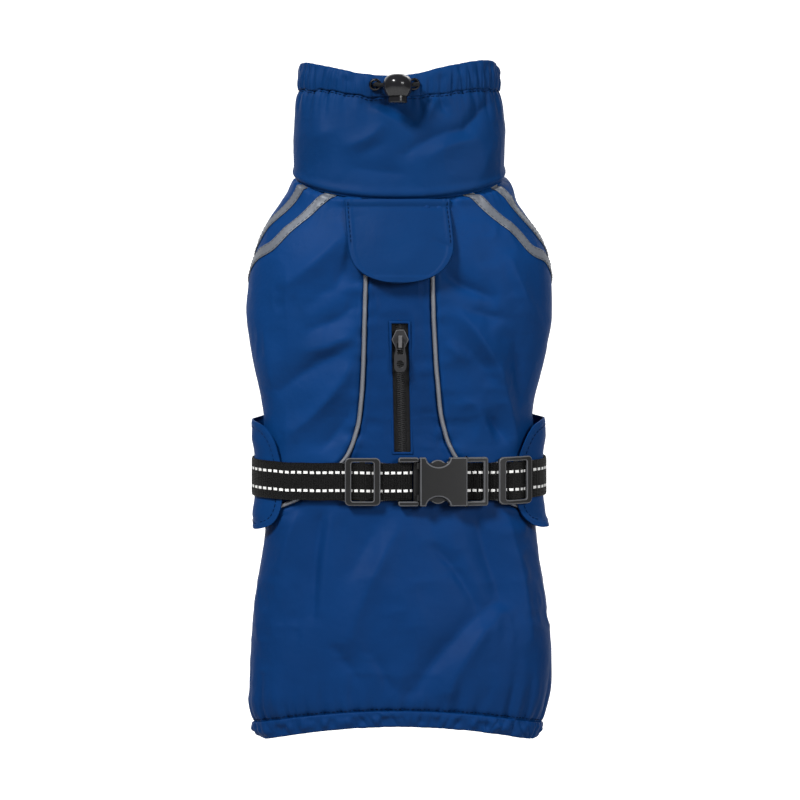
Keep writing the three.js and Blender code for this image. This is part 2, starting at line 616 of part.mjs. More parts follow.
// A bead of a given section, as pairs of sideways shift and height, along a path of places.
function bead(path, section) {
  const columns = section.map(([shift, height]) => besideSeam(path, 1, shift).map((place) =>
    bodyPoint(place.angle, place.at, height)));
  const count = section.length;
  const points = path.flatMap((_, i) => columns.map((column) => column[i]));
  const faces = [];
  for (let i = 0; i < path.length - 1; i += 1) {
    for (let k = 0; k < count; k += 1) {
      const [a, b] = [i * count + k, i * count + ((k + 1) % count)];
      faces.push([a, b + count, b], [a, a + count, b + count]);
    }
  }
  const end = (path.length - 1) * count;
  for (let k = 1; k < count - 1; k += 1) {
    faces.push([0, k, k + 1], [end, end + k + 1, end + k]);
  }
  const geometry = new THREE.BufferGeometry();
  const flat = points.flatMap((p) => [p.x, p.y, p.z]);
  geometry.setAttribute("position", new THREE.Float32BufferAttribute(flat, 3));
  geometry.setIndex(faces.flat());
  return geometry;
}

// The place of a point given in the plane seen from behind.
function placeAt(x, z) {
  const place = { angle: 0, at: z };
  for (let pass = 0; pass < 12; pass += 1) {
    const ring = bodyRing(place.at);
    const share = THREE.MathUtils.clamp(x / (x < 0 ? ring.left : ring.right), -0.99, 0.99);
    place.angle = THREE.MathUtils.radToDeg(Math.asin(share));
    const turn = radians(place.angle);
    place.at = z - ring.tilt * (1 - Math.cos(turn)) + ring.dip * Math.sin(turn) ** 2;
  }
  return place;
}

function tape(rows) {
  const places = rows.map((row) => ("angle" in row ? row : placeAt(row.x, row.z)));
  const curve = new THREE.CatmullRomCurve3(places.map((place) => new THREE.Vector3(place.angle, place.at, 0)));
  const path = curve.getPoints(TAPE_STEPS).map((point) => ({ angle: point.x, at: point.y }));
  return strip(path, [-TAPE_WIDTH / 2, 0, TAPE_WIDTH / 2], TAPE_BASE, TAPE_BASE + TAPE_THICK);
}

// The leash flap: sewn in under the collar, free and standing off at its round end.
function leashFlap() {
  const hang = (z) => Math.max(-z - FLAP_TOP_DROP, 0) / (FLAP_END_DROP - FLAP_TOP_DROP);
  const base = (z) => FLAP_BASE + FLAP_STAND_OFF * smooth(-z, 2, 70) + FLAP_LIFT * hang(z);
  const row = (entry, height) => Array.from({ length: FLAP_STEPS + 1 }, (_, k) => {
    const x = lerp(entry.left, entry.right, k / FLAP_STEPS);
    const place = placeAt(x, entry.z);
    return bodyPoint(place.angle, Math.min(place.at, -GAP), base(entry.z) + height, false);
  });
  const sheet = (height) => FLAP_ROWS.map((entry) => row(entry, height));
  return wall(sheet(FLAP_THICK), sheet(0));
}

// Uneven gathers round a casing: a sum of two waves, from 0 to 1.
function gathers(angle, count) {
  const turn = radians(angle);
  const main = Math.sin(count * turn + 1.3 * Math.sin(5 * turn));
  return 0.5 + 0.35 * main + 0.15 * Math.sin(count * 0.62 * turn + 2);
}

function casingPoint(angle, share, height) {
  const [x, y] = ringXY(CASING_RING, angle);
  const [nextX, nextY] = ringXY(CASING_RING, angle + 0.5);
  const way = new THREE.Vector2(nextY - y, x - nextX).normalize();
  const z = lerp(stitchZ(angle) + GAP / 2, collarTopZ(angle), share);
  return new THREE.Vector3(x + way.x * height, y + way.y * height, z);
}

function casingHeight(angle, share) {
  const atLock = 1 - Math.exp(-((angle / 16) ** 2));
  const round = Math.sin(Math.PI * (0.12 + 0.8 * share));
  return 0.6 + 1.6 * round + 1.1 * round * atLock * (gathers(angle, CASING_WAVES) - 0.5);
}

function collarCasing() {
  const rows = [1, 0.84, 0.45, 0];
  const columns = Array.from({ length: CASING_COLUMNS }, (_, k) => -180 + (360 * k) / CASING_COLUMNS);
  const row = (share, height) => columns.map((angle) => casingPoint(angle, share, height(angle, share)));
  const sheet = (height) => rows.map((share) => row(share, height));
  const [outer, inner] = [sheet(casingHeight), sheet(() => -CLOTH)];
  const holes = EYELETS.map((eyelet) => {
    const drill = new THREE.CylinderGeometry(eyelet.bore, eyelet.bore, DRILL, 16);
    return toSolid(drill.translate(eyelet.x, -DRILL / 2, eyelet.z));
  });
  return toGeometry(holes.reduce((solid, hole) => solid.subtract(hole), toSolid(wall(outer, inner, true))));
}

function hemCasing() {
  const rows = [-GAP / 2, -3.5, -8, -HEM_HEIGHT].map((drop) => HEM_SEAM + drop);
  const edge = FLANK_EDGE.at(-1).angle;
  const columns = Array.from({ length: HEM_COLUMNS + 1 }, (_, k) => lerp(-edge, edge, k / HEM_COLUMNS));
  const height = (angle, at) => {
    const round = Math.sin(Math.PI * THREE.MathUtils.clamp((HEM_SEAM - at + 1) / (HEM_HEIGHT + 2), 0, 1));
    return 0.2 + 0.6 * round + 1.2 * round * gathers(angle, HEM_WAVES);
  };
  const outer = rows.map((at) => columns.map((angle) => bodyPoint(angle, at, height(angle, at))));
  const inner = rows.map((at) => columns.map((angle) => bodyPoint(angle, at, -CLOTH)));
  return wall(outer, inner);
}

// The belt's own space: angle, height above its middle line and height off the body.
function beltPoint(angle, up, height) {
  const ring = bodyRing(BELT_Z);
  const turned = unwrap(angle);
  const [x, y] = ringXY(ring, turned);
  const [nextX, nextY] = ringXY(ring, turned + 0.25);
  const [lastX, lastY] = ringXY(ring, turned - 0.25);
  const way = new THREE.Vector2(nextY - lastY, lastX - nextX).normalize();
  const z = BELT_Z + BELT_RISE * beltShare(turned) + up;
  return new THREE.Vector3(x + way.x * height, y + way.y * height, z);
}

const beltAngle = (x) => THREE.MathUtils.radToDeg(Math.asin(x / bodyRing(BELT_Z).right));

// Inner face of the belt: clear of the piping on the back, and lying on the wing tabs round the flanks.
function beltBase(angle) {
  const turned = unwrap(angle);
  const away = Math.abs(turned);
  const back = BELT_OVER_PIPING + (BELT_OVER_WING - BELT_OVER_PIPING) * smooth(away, 36, 52);
  const at = BELT_Z + BELT_RISE * beltShare(turned);
  return away < 54 ? back : Math.max(back, wingLift(turned, at) + BELT_CLEAR);
}

// How far a place lies from a middle angle, along the belt.
function alongBelt(angle, middle) {
  const half = (unwrap(angle) + middle) / 2;
  const perDegree = beltPoint(half + 0.5, 0, 2).distanceTo(beltPoint(half - 0.5, 0, 2));
  return (unwrap(angle) - middle) * perDegree;
}

function webbing() {
  const start = beltAngle(BUCKLE.femaleWebEnd);
  const end = 360 + beltAngle(BUCKLE.maleWebEnd);
  const angles = Array.from({ length: BELT_STEPS + 1 }, (_, k) => lerp(start, end, k / BELT_STEPS));
  const slides = SLIDES.flatMap((slide) => SLIDE_WEB_STEPS.map((step) => {
    const unit = alongBelt(slide.angle + 0.5, slide.angle) * 2;
    return (slide.angle < 0 ? 360 : 0) + slide.angle + step / unit;
  }));
  const bar = [1, 0.5, 0].map((share) => 360 + beltAngle(BUCKLE.start - share * BUCKLE.climb));
  const known = [...slides, ...bar];
  const near = (angle) => known.some((place) => Math.abs(place - angle) < 3) && angle !== end;
  const all = [...angles.filter((angle) => !near(angle)), ...known].sort((a, b) => a - b);
  const rise = (angle) => {
    const atSlides = SLIDES.map((slide) =>
      smooth(-Math.abs(alongBelt(angle, slide.angle)), -SLIDE_CLIMB.from, -SLIDE_CLIMB.to));
    const female = smooth(-angle, -start - BUCKLE.climb, -start);
    const male = smooth(angle, 360 + beltAngle(BUCKLE.start - BUCKLE.climb), 360 + beltAngle(BUCKLE.start));
    return SLIDE_RISE * Math.max(...atSlides) + BUCKLE.webRise * female + BUCKLE.overBar * male;
  };
  const sheet = (depth) => [1, -1].map((side) => all.map((angle) =>
    beltPoint(angle, (side * BELT_WIDTH) / 2, beltBase(angle) + rise(angle) + depth)));
  return wall(sheet(BELT_THICK), sheet(0));
}

// A block in the belt's space, between two distances along it, two heights across and two off the body.
function beltBlock(angles, up, height) {
  const row = (level, side) => angles.map((angle) => beltPoint(angle, level, height(angle, side)));
  const sheet = (side) => [row(up[1], side), row(up[0], side)];
  return toSolid(wall(sheet(1), sheet(0)));
}

const join = (solids) => toGeometry(solids.reduce((all, solid) => all.add(solid)));

function slide(middle) {
  const unit = alongBelt(middle + 0.5, middle) * 2;
  const span = (from, to, steps) => Array.from({ length: steps + 1 }, (_, k) =>
    middle + lerp(from, to, k / steps) / unit);
  const level = (low, high) => (angle, side) => beltBase(angle) + (side ? high : low);
  const half = SLIDE.length / 2;
  const over = BELT_THICK + GAP;
  const rails = [1, -1].map((side) => {
    const up = [side * SLIDE.window / 2, side * SLIDE.height / 2].sort((a, b) => a - b);
    return beltBlock(span(-half, half, 6), up, level(GAP, SLIDE.top));
  });
  const reach = SLIDE.window / 2 + 1;
  const ends = [-half, half - SLIDE.bar].map((from) =>
    beltBlock(span(from, from + SLIDE.bar, 1), [-reach, reach], level(over, SLIDE.top)));
  const middleHalf = SLIDE.middleBar / 2;
  const centre = beltBlock(span(-middleHalf, middleHalf, 1), [-reach, reach], level(GAP, SLIDE.middleTop));
  return join([...rails, ...ends, centre]);
}

const buckleSpan = (from, to, steps) => Array.from({ length: steps + 1 }, (_, k) =>
  beltAngle(lerp(from, to, k / steps)));
const buckleLevel = (low, high) => (_, side) => (side ? high : low);

// Half of the buckle with the spring arms, which the side cut-outs of the other half show.
function buckleMale() {
  const b = BUCKLE;
  const half = b.height / 2;
  const rails = [1, -1].map((side) => {
    const up = [side * b.window / 2, side * half].sort((p, q) => p - q);
    return beltBlock(buckleSpan(b.start, b.joint - GAP, 4), up, buckleLevel(b.low, b.frameTop));
  });
  const reach = b.window / 2 + 1;
  const end = beltBlock(buckleSpan(b.start, b.start + b.bar, 1), [-reach, reach],
    buckleLevel(b.webBarLow, b.webBarTop));
  const cross = beltBlock(buckleSpan(b.joint - b.cross, b.joint - GAP, 1), [-reach, reach],
    buckleLevel(b.low, b.frameTop));
  const arms = [1, -1].flatMap((side) => {
    const arm = [side * b.armIn, side * b.armOut].sort((p, q) => p - q);
    const pad = [side * b.padIn, side * b.padOut].sort((p, q) => p - q);
    return [
      beltBlock(buckleSpan(b.joint - 2, b.armEnd, 5), arm, buckleLevel(b.armLow, b.armHigh)),
      beltBlock(buckleSpan(b.padStart, b.padEnd, 3), pad, buckleLevel(b.armLow, b.armHigh)),
    ];
  });
  return join([...rails, end, cross, ...arms]);
}

function buckleFemale() {
  const b = BUCKLE;
  const half = b.height / 2;
  const body = beltBlock(buckleSpan(b.joint, b.bodyEnd, 6), [-half, half], buckleLevel(b.low, b.top));
  const pocket = beltBlock(buckleSpan(b.joint - 1, b.pocketEnd, 6), [-b.pocket / 2, b.pocket / 2],
    buckleLevel(b.armLow - GAP, b.armHigh + GAP));
  const cutOuts = [1, -1].map((side) => {
    const round = new THREE.CylinderGeometry(1, 1, DRILL, 20).scale(b.cutLong / 2, 1, b.cutDeep);
    return toSolid(round.translate(b.cutX, -DRILL / 2, BELT_Z + side * half));
  });
  const rails = [1, -1].map((side) => {
    const up = [side * b.window / 2, side * half].sort((p, q) => p - q);
    return beltBlock(buckleSpan(b.bodyEnd - 1, b.end, 3), up, buckleLevel(b.low, b.frameTop));
  });
  const reach = b.window / 2 + 1;
  const webOuter = (angle, side) => (side ? b.frameTop : beltBase(angle) + BELT_THICK + GAP);
  const end = beltBlock(buckleSpan(b.end - b.bar, b.end, 1), [-reach, reach], webOuter);
  const solid = cutOuts.reduce((all, cut) => all.subtract(cut), body.subtract(pocket));
  return toGeometry([...rails, end].reduce((all, piece) => all.add(piece), solid));
}

function zipTape(side) {
  const rows = 6;
  const sheet = (height) => Array.from({ length: rows + 1 }, (_, i) => {
    const share = i / rows;
    const z = lerp(ZIP_WINDOW.top + 6, ZIP_WINDOW.bottom - 5, share);
    const middle = lerp(ZIP_WINDOW.topX, ZIP_WINDOW.bottomX, share);
    const near = middle + side * GAP / 2;
    const far = middle + side * ZIP_TAPE_WIDTH;
    return [Math.min(near, far), Math.max(near, far)].map((x) => {
      const place = placeAt(x, z);
      return bodyPoint(place.angle, place.at, height);
    });
  });
  return wall(sheet(-CLOTH - 0.4), sheet(-CLOTH - 1.2));
}

// A solid of an outline drawn in the plane seen from behind, between two depths.
function plate(outline, from, to) {
  const shape = new THREE.Shape(outline.map(([x, z]) => new THREE.Vector2(x, z)));
  const geometry = new THREE.ExtrudeGeometry(shape, { depth: to - from, bevelEnabled: false });
  return geometry.rotateX(Math.PI / 2).translate(0, to, 0);
}

function zipSlider() {
  const s = ZIP_SLIDER;
  const half = s.width / 2;
  const outline = [
    [s.x - half * 0.45, s.bottom], [s.x + half * 0.45, s.bottom], [s.x + half * 0.8, s.bottom + 3.5],
    [s.x + half, s.top - 4], [s.x + half * 0.5, s.top], [s.x - half * 0.5, s.top],
    [s.x - half, s.top - 4], [s.x - half * 0.8, s.bottom + 3.5],
  ];
  const head = toSolid(plate(outline, s.face, s.back));
  const box = (low, high, from, to) => {
    const size = new THREE.BoxGeometry(s.bridge, to - from, high - low);
    return toSolid(size.translate(s.x, (from + to) / 2, (low + high) / 2));
  };
  const legs = [s.bridgeTop, s.bridgeBottom + s.post].map((top) =>
    box(top - s.post, top, s.bridgeFace, s.face + 0.5));
  const bar = box(s.bridgeBottom, s.bridgeTop, s.bridgeFace, s.bridgeFace + s.post);
  return join([head, ...legs, bar]);
}

function pullTab() {
  const t = PULL_TAB;
  const half = t.width / 2;
  const x = ZIP_SLIDER.x;
  const outline = [
    [x - half * 0.62, t.top], [x + half * 0.62, t.top], [x + half * 0.86, t.top - 2],
    [x + half, t.bottom + 4], [x + half * 0.6, t.bottom], [x - half * 0.6, t.bottom],
    [x - half, t.bottom + 4], [x - half * 0.86, t.top - 2],
  ];
  const tab = toSolid(plate(outline, t.y - t.thick / 2, t.y + t.thick / 2));
  const window = new THREE.BoxGeometry(t.window, 4, t.windowTop - t.windowBottom);
  const hole = new THREE.CylinderGeometry(t.hole / 2, t.hole / 2, 4, 20);
  const cut = tab.subtract(toSolid(window.translate(x, t.y, (t.windowTop + t.windowBottom) / 2)));
  return toGeometry(cut.subtract(toSolid(hole.translate(x, t.y, t.holeZ))));
}

function turned(profile, sides) {
  const points = profile.map(([radius, z]) => new THREE.Vector2(radius, z));
  return new THREE.LatheGeometry(points, sides).rotateX(Math.PI / 2);
}

function eyelet(place) {
  const ring = turned([[2.3, 0], [3.9, 0], [4.1, 0.6], [3.4, 1.4], [2.6, 1.3], [2.3, 0]], 14);
  return ring.rotateX(Math.PI / 2).rotateZ(radians(place.lean)).translate(place.x, place.face, place.z);
}

function lockCentre(geometry) {
  return geometry.translate(CORD_LOCK.x, CORD_LOCK.y, 0);
}

function cordLock() {
  const c = CORD_LOCK;
  const outline = [
    [c.capBore, 67.7], [7.4, 67.7], [7.9, 68.5], [8.9, 70.5], [9.7, 73], [9.9, 75.5], [9.1, 78],
    [7.6, 80], [4.5, 82], [0, 82.7], [0, 80], [c.bore, 80], [c.bore, 72.5], [c.capBore, 72.5],
    [c.capBore, 67.7],
  ];
  const body = toSolid(lockCentre(turned(outline, 20)));
  const hole = new THREE.CylinderGeometry(c.cordHole, c.cordHole, 30, 12).rotateZ(Math.PI / 2);
  return toGeometry(body.subtract(toSolid(hole.translate(c.x, c.y, c.z))));
}

function plunger() {
  const c = CORD_LOCK;
  const outline = [
    [0, 63], [5.9, 63], [c.capRadius, 63.5], [c.capRadius, 67.9], [c.shaft, 67.9], [c.shaft, 75.7], [0, 75.7],
  ];
  const body = toSolid(lockCentre(turned(outline, 18)));
  const slot = new THREE.BoxGeometry(14, 4, 10).translate(c.x, c.y, c.slotBottom + 5);
  return toGeometry(body.subtract(toSolid(slot)));
}

function drawcord() {
  const route = new THREE.CatmullRomCurve3(CORD_ROUTE.map((row) => new THREE.Vector3(row.x, row.y, row.z)));
  const section = new THREE.Shape();
  section.absarc(0, 0, CORD_RADIUS, 0, 2 * Math.PI, false);
  const form = { extrudePath: route, steps: 18, curveSegments: 4, bevelEnabled: false };
  return new THREE.ExtrudeGeometry(section, form);
}

add("back_panel", backPanel(), COLOURS.back);
add("side_panel_left", sidePanel(-1), COLOURS.side);
add("side_panel_right", sidePanel(1), COLOURS.side);
add("belly_panel", bellyPanel(), COLOURS.wing);
add("collar", collarTube(), COLOURS.collar);
add("collar_casing", collarCasing(), COLOURS.collar);
add("hem_casing", hemCasing(), COLOURS.back);
add("leash_flap", leashFlap(), COLOURS.flap);
for (const [side, seam] of Object.entries(seams)) {
  const shown = seam.filter((place) => place.at < PIPING_TOP && Math.abs(place.angle) < PIPING_END);
  add(`piping_${side}`, bead(shown, PIPING_SECTION), COLOURS.piping, 0.5);
}
for (const [name, rows] of Object.entries(TAPES)) add(`tape_${name}`, tape(rows), COLOURS.tape, 0.4);
add("belt_webbing", webbing(), COLOURS.webbing, 0.9);
for (const place of SLIDES) add(`slide_${place.side}`, slide(place.angle), COLOURS.slide, 0.4);
add("buckle_male", buckleMale(), COLOURS.buckle, 0.4);
add("buckle_female", buckleFemale(), COLOURS.buckle, 0.4);
add("zip_tape_left", zipTape(-1), COLOURS.zip, 0.9);
add("zip_tape_right", zipTape(1), COLOURS.zip, 0.9);
add("zip_slider", zipSlider(), COLOURS.metal, 0.35, 0.8);
add("pull_tab", pullTab(), COLOURS.zip, 0.35, 0.5);
for (const place of EYELETS) add(`eyelet_${place.side}`, eyelet(place), COLOURS.eyelet, 0.3, 0.7);
add("drawcord", drawcord(), COLOURS.cord, 0.8);
add("cord_lock", cordLock(), COLOURS.cordLock, 0.25);
add("cord_lock_plunger", plunger(), COLOURS.cordLock, 0.3);

export default coat;
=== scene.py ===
"""Dog raincoat, size M, filled out as it is worn and seen from behind.

Every size is in millimetres on the coat's own form and is turned to metres where a mesh is made.
"""

import logging
import math
from dataclasses import dataclass, field
from enum import Enum
from typing import Callable, Sequence

import bpy
import numpy as np
from mathutils import Matrix, Vector


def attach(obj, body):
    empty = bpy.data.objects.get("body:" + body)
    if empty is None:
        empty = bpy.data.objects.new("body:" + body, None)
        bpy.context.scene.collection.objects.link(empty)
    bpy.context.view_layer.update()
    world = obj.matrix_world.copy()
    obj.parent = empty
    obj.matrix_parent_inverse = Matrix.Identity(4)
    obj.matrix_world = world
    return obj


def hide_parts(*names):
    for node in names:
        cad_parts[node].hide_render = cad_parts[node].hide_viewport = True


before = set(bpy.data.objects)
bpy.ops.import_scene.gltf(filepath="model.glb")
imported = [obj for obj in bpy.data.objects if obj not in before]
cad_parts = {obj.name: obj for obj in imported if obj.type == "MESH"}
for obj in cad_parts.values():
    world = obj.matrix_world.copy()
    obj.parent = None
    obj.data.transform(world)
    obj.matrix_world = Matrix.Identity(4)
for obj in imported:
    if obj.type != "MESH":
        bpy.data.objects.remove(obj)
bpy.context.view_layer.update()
LOG = logging.getLogger("dog_raincoat")
MM = 0.001
ROOT = "coat"
Array = np.ndarray
Place = tuple[float, float]


# Small helpers


def smooth(value: Array | float, low: float, high: float) -> Array:
    """Return a soft step from 0 at low to 1 at high."""
    t = np.clip((np.asarray(value, float) - low) / (high - low), 0.0, 1.0)
    return t * t * (3.0 - 2.0 * t)


def along(rows: Sequence[tuple[float, float]], at: Array | float) -> Array:
    """Read a smooth curve through a table.

    Args:
        rows: pairs of height and value, with the height falling.
        at: the heights to read at.

    Returns:
        The values there.
    """
    heights = np.array([row[0] for row in rows])
    values = np.array([row[1] for row in rows])
    at = np.asarray(at, float)
    last = len(heights) - 1
    i = np.clip(np.searchsorted(-heights, -at, side="left") - 1, 0, last - 1)
    span = heights[i + 1] - heights[i]
    t = np.clip((at - heights[i]) / span, 0.0, 1.0)

    def slope(a: Array, b: Array) -> Array:
        """Return the slope between two rows."""
        return (values[b] - values[a]) / (heights[b] - heights[a])

    start = slope(np.maximum(i - 1, 0), i + 1) * span
    end = slope(i, np.minimum(i + 2, last)) * span
    low, high = values[i], values[i + 1]
    bend = 3 * (high - low) - 2 * start - end + t * (start + end - 2 * (high - low))
    curve = low + t * (start + t * bend)
    return np.clip(curve, np.minimum(low, high) - 0.2, np.maximum(low, high) + 0.2)


def lattice_noise(points: Array, size: float, seed: int) -> Array:
    """Return smooth noise from -1 to 1 at points, with bumps of about the given size."""
    scaled = points / size
    cell = np.floor(scaled).astype(np.int64)
    part = scaled - cell
    part = part * part * part * (part * (part * 6 - 15) + 10)
    total = np.zeros(points.shape[:-1])
    for corner in range(8):
        step = np.array([corner & 1, (corner >> 1) & 1, (corner >> 2) & 1])
        keys = (cell + step) * np.array([73856093, 19349663, 83492791])
        mixed = (keys[..., 0] ^ keys[..., 1] ^ keys[..., 2] ^ (seed * 2654435761)) & 0xFFFFFFFF
        mixed = ((mixed ^ (mixed >> 13)) * 1274126177) & 0xFFFFFFFF
        value = ((mixed ^ (mixed >> 16)) & 0xFFFF) / 32767.5 - 1.0
        weight = np.prod(np.where(step == 1, part, 1.0 - part), axis=-1)
        total = total + value * weight
    return total


def line_noise(u: Array, size: float, seed: int, row: float = 0.0) -> Array:
    """Return smooth noise from -1 to 1 along a line, with bumps of about the given size."""
    return lattice_noise(np.stack([u, 0 * u + row, 0 * u], axis=-1), size, seed)


def ruche(u: Array, pitch: float, seed: int) -> Array:
    """Return gathers from 0 to 1 along a line: round tops with sharp valleys, unevenly spaced."""
    wander = line_noise(u, pitch * 2.6, seed)
    size = line_noise(u, pitch * 1.7, seed + 1, row=7.0)
    return np.abs(np.sin(np.pi * (u / pitch + 0.45 * wander))) ** 0.7 * (0.72 + 0.28 * size)


def unwrap(angle: Array | float) -> Array:
    """Return angles from -180 to 180 degrees."""
    return (np.asarray(angle, float) + 180.0) % 360.0 - 180.0


# The form of the coat


@dataclass(frozen=True)
class Ring:
    """One ring of the coat: half widths and half depths, tilt, dip and skew."""

    at: float
    tilt: float
    dip: float
    left: float
    right: float
    back: float
    belly: float
    skew: float


@dataclass(frozen=True)
class Crease:
    """A soft ridge or trough between two points seen from behind."""

    x1: float
    z1: float
    x2: float
    z2: float
    high: float
    wide: float
    bow: float = 0.0
    power: float = 1.35


BELT_Z = -188.3
BELT_WIDTH = 25.0
BELT_RISE = 16.0
HEM_SEAM = -340.7
HEM_HEIGHT = 11.0
STITCH_Z = 68.0
COLLAR_RADIUS = 55.0

BODY_RINGS = (
    Ring(0, 18, 0, 69, 70.5, 36, 38, 0),
    Ring(-5.5, 17.2, 0, 72.7, 76, 37, 40, 0),
    Ring(-15, 15.7, 0, 79, 81.3, 38.5, 43, 0),
    Ring(-28, 13.5, 0, 89.8, 90.4, 40.5, 48, 1),
    Ring(-50, 10.3, 0, 99.2, 101.2, 42, 54, 2),
    Ring(-80, 6, 0, 102.4, 103.7, 41.5, 56.5, 4),
    Ring(-98, 4, 0, 100, 100.7, 40, 54, 5),
    Ring(-118, 2, 0, 96.3, 96.6, 37.5, 48, 6),
    Ring(-142, 0.6, 0, 91.4, 90.6, 33.5, 40, 7),
    Ring(-156, 0, 0, 91, 91.6, 32, 37.5, 8),
    Ring(-188, 0, 0, 91, 91.8, 32, 37, 8),
    Ring(-206, 0, 0, 91, 92, 32, 37, 8),
    Ring(-222, 0, 0, 91.2, 94, 34, 38, 6),
    Ring(-245, 0, 0, 94, 96, 37, 40, 5),
    Ring(-272, 0, 0, 98, 100, 39.5, 43, 3),
    Ring(-300, 0, 0, 101.2, 103.8, 41, 45, 1),
    Ring(-322, 0, 2, 101.5, 103, 41, 45, 0),
    Ring(-333, 0, 6, 101.7, 100, 40, 44, 0),
    Ring(HEM_SEAM, 0, 10.2, 98.5, 96.5, 38.5, 42.5, 0),
    Ring(HEM_SEAM - HEM_HEIGHT, 0, 11.6, 96, 94.5, 37, 41, 0),
)
COLLAR_RINGS = (
    Ring(1, 0, 0, 66, 66, 34, 34, 0),
    Ring(0.93, 0, 0, 68.5, 68, 35, 35, 0),
    Ring(0.75, 0, 0, 70.2, 70.2, 36, 36, 0),
    Ring(0.45, 0, 0, 71, 71.2, 37, 37, 0),
    Ring(0.15, 0, 0, 70.6, 71, 37.2, 38, 0),
    Ring(0, 0, 0, 69.4, 70.8, 36.4, 38.2, 0),
)
BACK_CREASES = (
    Crease(-76, -57, -38, -26, 2.6, 7, 2),
    Crease(-42, -60, -33, -38, -2.0, 6),
    Crease(-60, -70, -46, -58, -1.0, 7),
    Crease(-57, -86, -29, -71, -2.2, 6, 2),
    Crease(-60, -101, -28, -89, 2.0, 6, 2),
    Crease(-80, -128, -31, -100, -2.2, 7, -3),
    Crease(-69, -154, -31, -109, 2.8, 7, 3),
    Crease(-52, -168, -31, -142, -1.6, 6),
    Crease(-88, -98, -84, -128, 1.0, 6),
    Crease(29, -48, 62, -65, -2.6, 5, 2),
    Crease(76, -42, 95, -82, 1.8, 5, 2),
    Crease(43, -79, 69, -118, 2.8, 6, -2),
    Crease(69, -118, 79, -166, 2.4, 6),
    Crease(46, -74, 72, -80, -1.8, 5),
    Crease(78, -94, 82, -130, -2.2, 7),
    Crease(31, -96, 44, -106, 1.5, 5),
    Crease(44, -98, 62, -118, -1.4, 6),
    Crease(61, -146, 70, -158, -1.8, 5),
    Crease(55, -142, 62, -160, 1.4, 4),
    Crease(40, -132, 56, -140, 1.0, 8),
    Crease(-80, -246, -67, -208, 2.4, 7),
    Crease(-51, -208, -57, -277, -2.4, 6, 2),
    Crease(-44, -208, -52, -274, 1.6, 7, 2),
    Crease(-1, -222, -32, -292, 2.6, 9, 3),
    Crease(-12, -214, -30, -246, -1.4, 9),
    Crease(-43, -300, -27, -319, -1.6, 5),
    Crease(-16, -305, -6, -325, -1.5, 4),
    Crease(26, -233, 51, -269, -2.2, 5, -2),
    Crease(52, -208, 70, -266, -2.6, 9, 2),
    Crease(66, -267, 8, -331, -2.8, 8, 4),
    Crease(68, -276, 34, -328, 2.2, 7, 3),
    Crease(73, -214, 88, -294, 2.4, 7, -2),
    Crease(-66, -248, -70, -300, -1.4, 9),
    Crease(10, -262, 24, -300, 1.0, 12),
)
BELLY_CREASES = (
    Crease(-44, -16, -20, -74, 1.8, 8, 3),
    Crease(36, -26, 12, -92, -2.0, 7, -3),
    Crease(8, -20, -6, -60, 1.2, 7),
    Crease(-52, -142, -8, -118, 2.0, 7, 2),
    Crease(56, -152, 14, -124, -1.8, 7, -2),
    Crease(20, -168, 60, -186, 1.4, 6),
    Crease(-20, -200, -56, -182, -1.4, 6),
    Crease(-80, -232, -92, -304, -2.2, 7),
    Crease(82, -236, 93, -302, 2.2, 7),
)
COLLAR_CREASES = (
    Crease(-20, 67, 9, 52, -2.6, 4.5, -2),
    Crease(-16, 60, -2, 52, 1.0, 4),
    Crease(58, 64, 44, 47, -2.0, 4.5),
    Crease(44, 47, 4, 30, -1.8, 5, 3),
    Crease(50, 40, 20, 28, 1.2, 6, 2),
    Crease(19, 54, 23, 66, 1.8, 3.5),
    Crease(32, 58, 28, 66, -1.4, 3.5),
    Crease(-30, 21, 2, 17, -1.6, 8),
    Crease(-57, 42, -44, 46, 1.4, 9),
    Crease(-33, 36, -12, 48, 1.4, 5, 2),
    Crease(-26, 30, -10, 38, -1.0, 6),
    Crease(-62, 20, -48, 30, -0.8, 8),
    Crease(54, 14, 62, 40, 0.9, 8),
)


def crease_height(creases: Sequence[Crease], x: Array, z: Array) -> Array:
    """Add up the creases at places seen from behind, each fading out towards its ends."""
    height = np.zeros(np.shape(x))
    for crease in creases:
        dx, dz = crease.x2 - crease.x1, crease.z2 - crease.z1
        length = math.hypot(dx, dz)
        run = ((x - crease.x1) * dx + (z - crease.z1) * dz) / length**2
        t = np.clip(run, 0.0, 1.0)
        side = ((x - crease.x1) * dz - (z - crease.z1) * dx) / length
        bowed = side - crease.bow * 4 * t * (1 - t)
        past = (run - t) * length
        away = np.hypot(bowed, past) / crease.wide
        height = height + crease.high * np.exp(-(away**crease.power)) * (0.55 + 0.45 * np.sin(np.pi * t))
    return height


# Share across the collar from right to left, and how far the casing's seam and its top edge rise there
SEAM_RISE = (
    (1, 4.3), (0.7, 3.9), (0.4, 2.2), (0.25, 0.8), (0.1, 0), (-0.25, 0), (-0.4, 0.7), (-0.55, 1.7), (-0.7, 3.6),
    (-1, 4),
)
CASING_RISE = (
    (1, 4.2), (0.9, 5.4), (0.7, 5.8), (0.4, 4.0), (0.25, 2.0), (0.12, 0.8), (-0.1, 0), (-0.4, 0.6), (-0.6, 1.9),
    (-0.8, 2.9), (-1, 3.7),
)


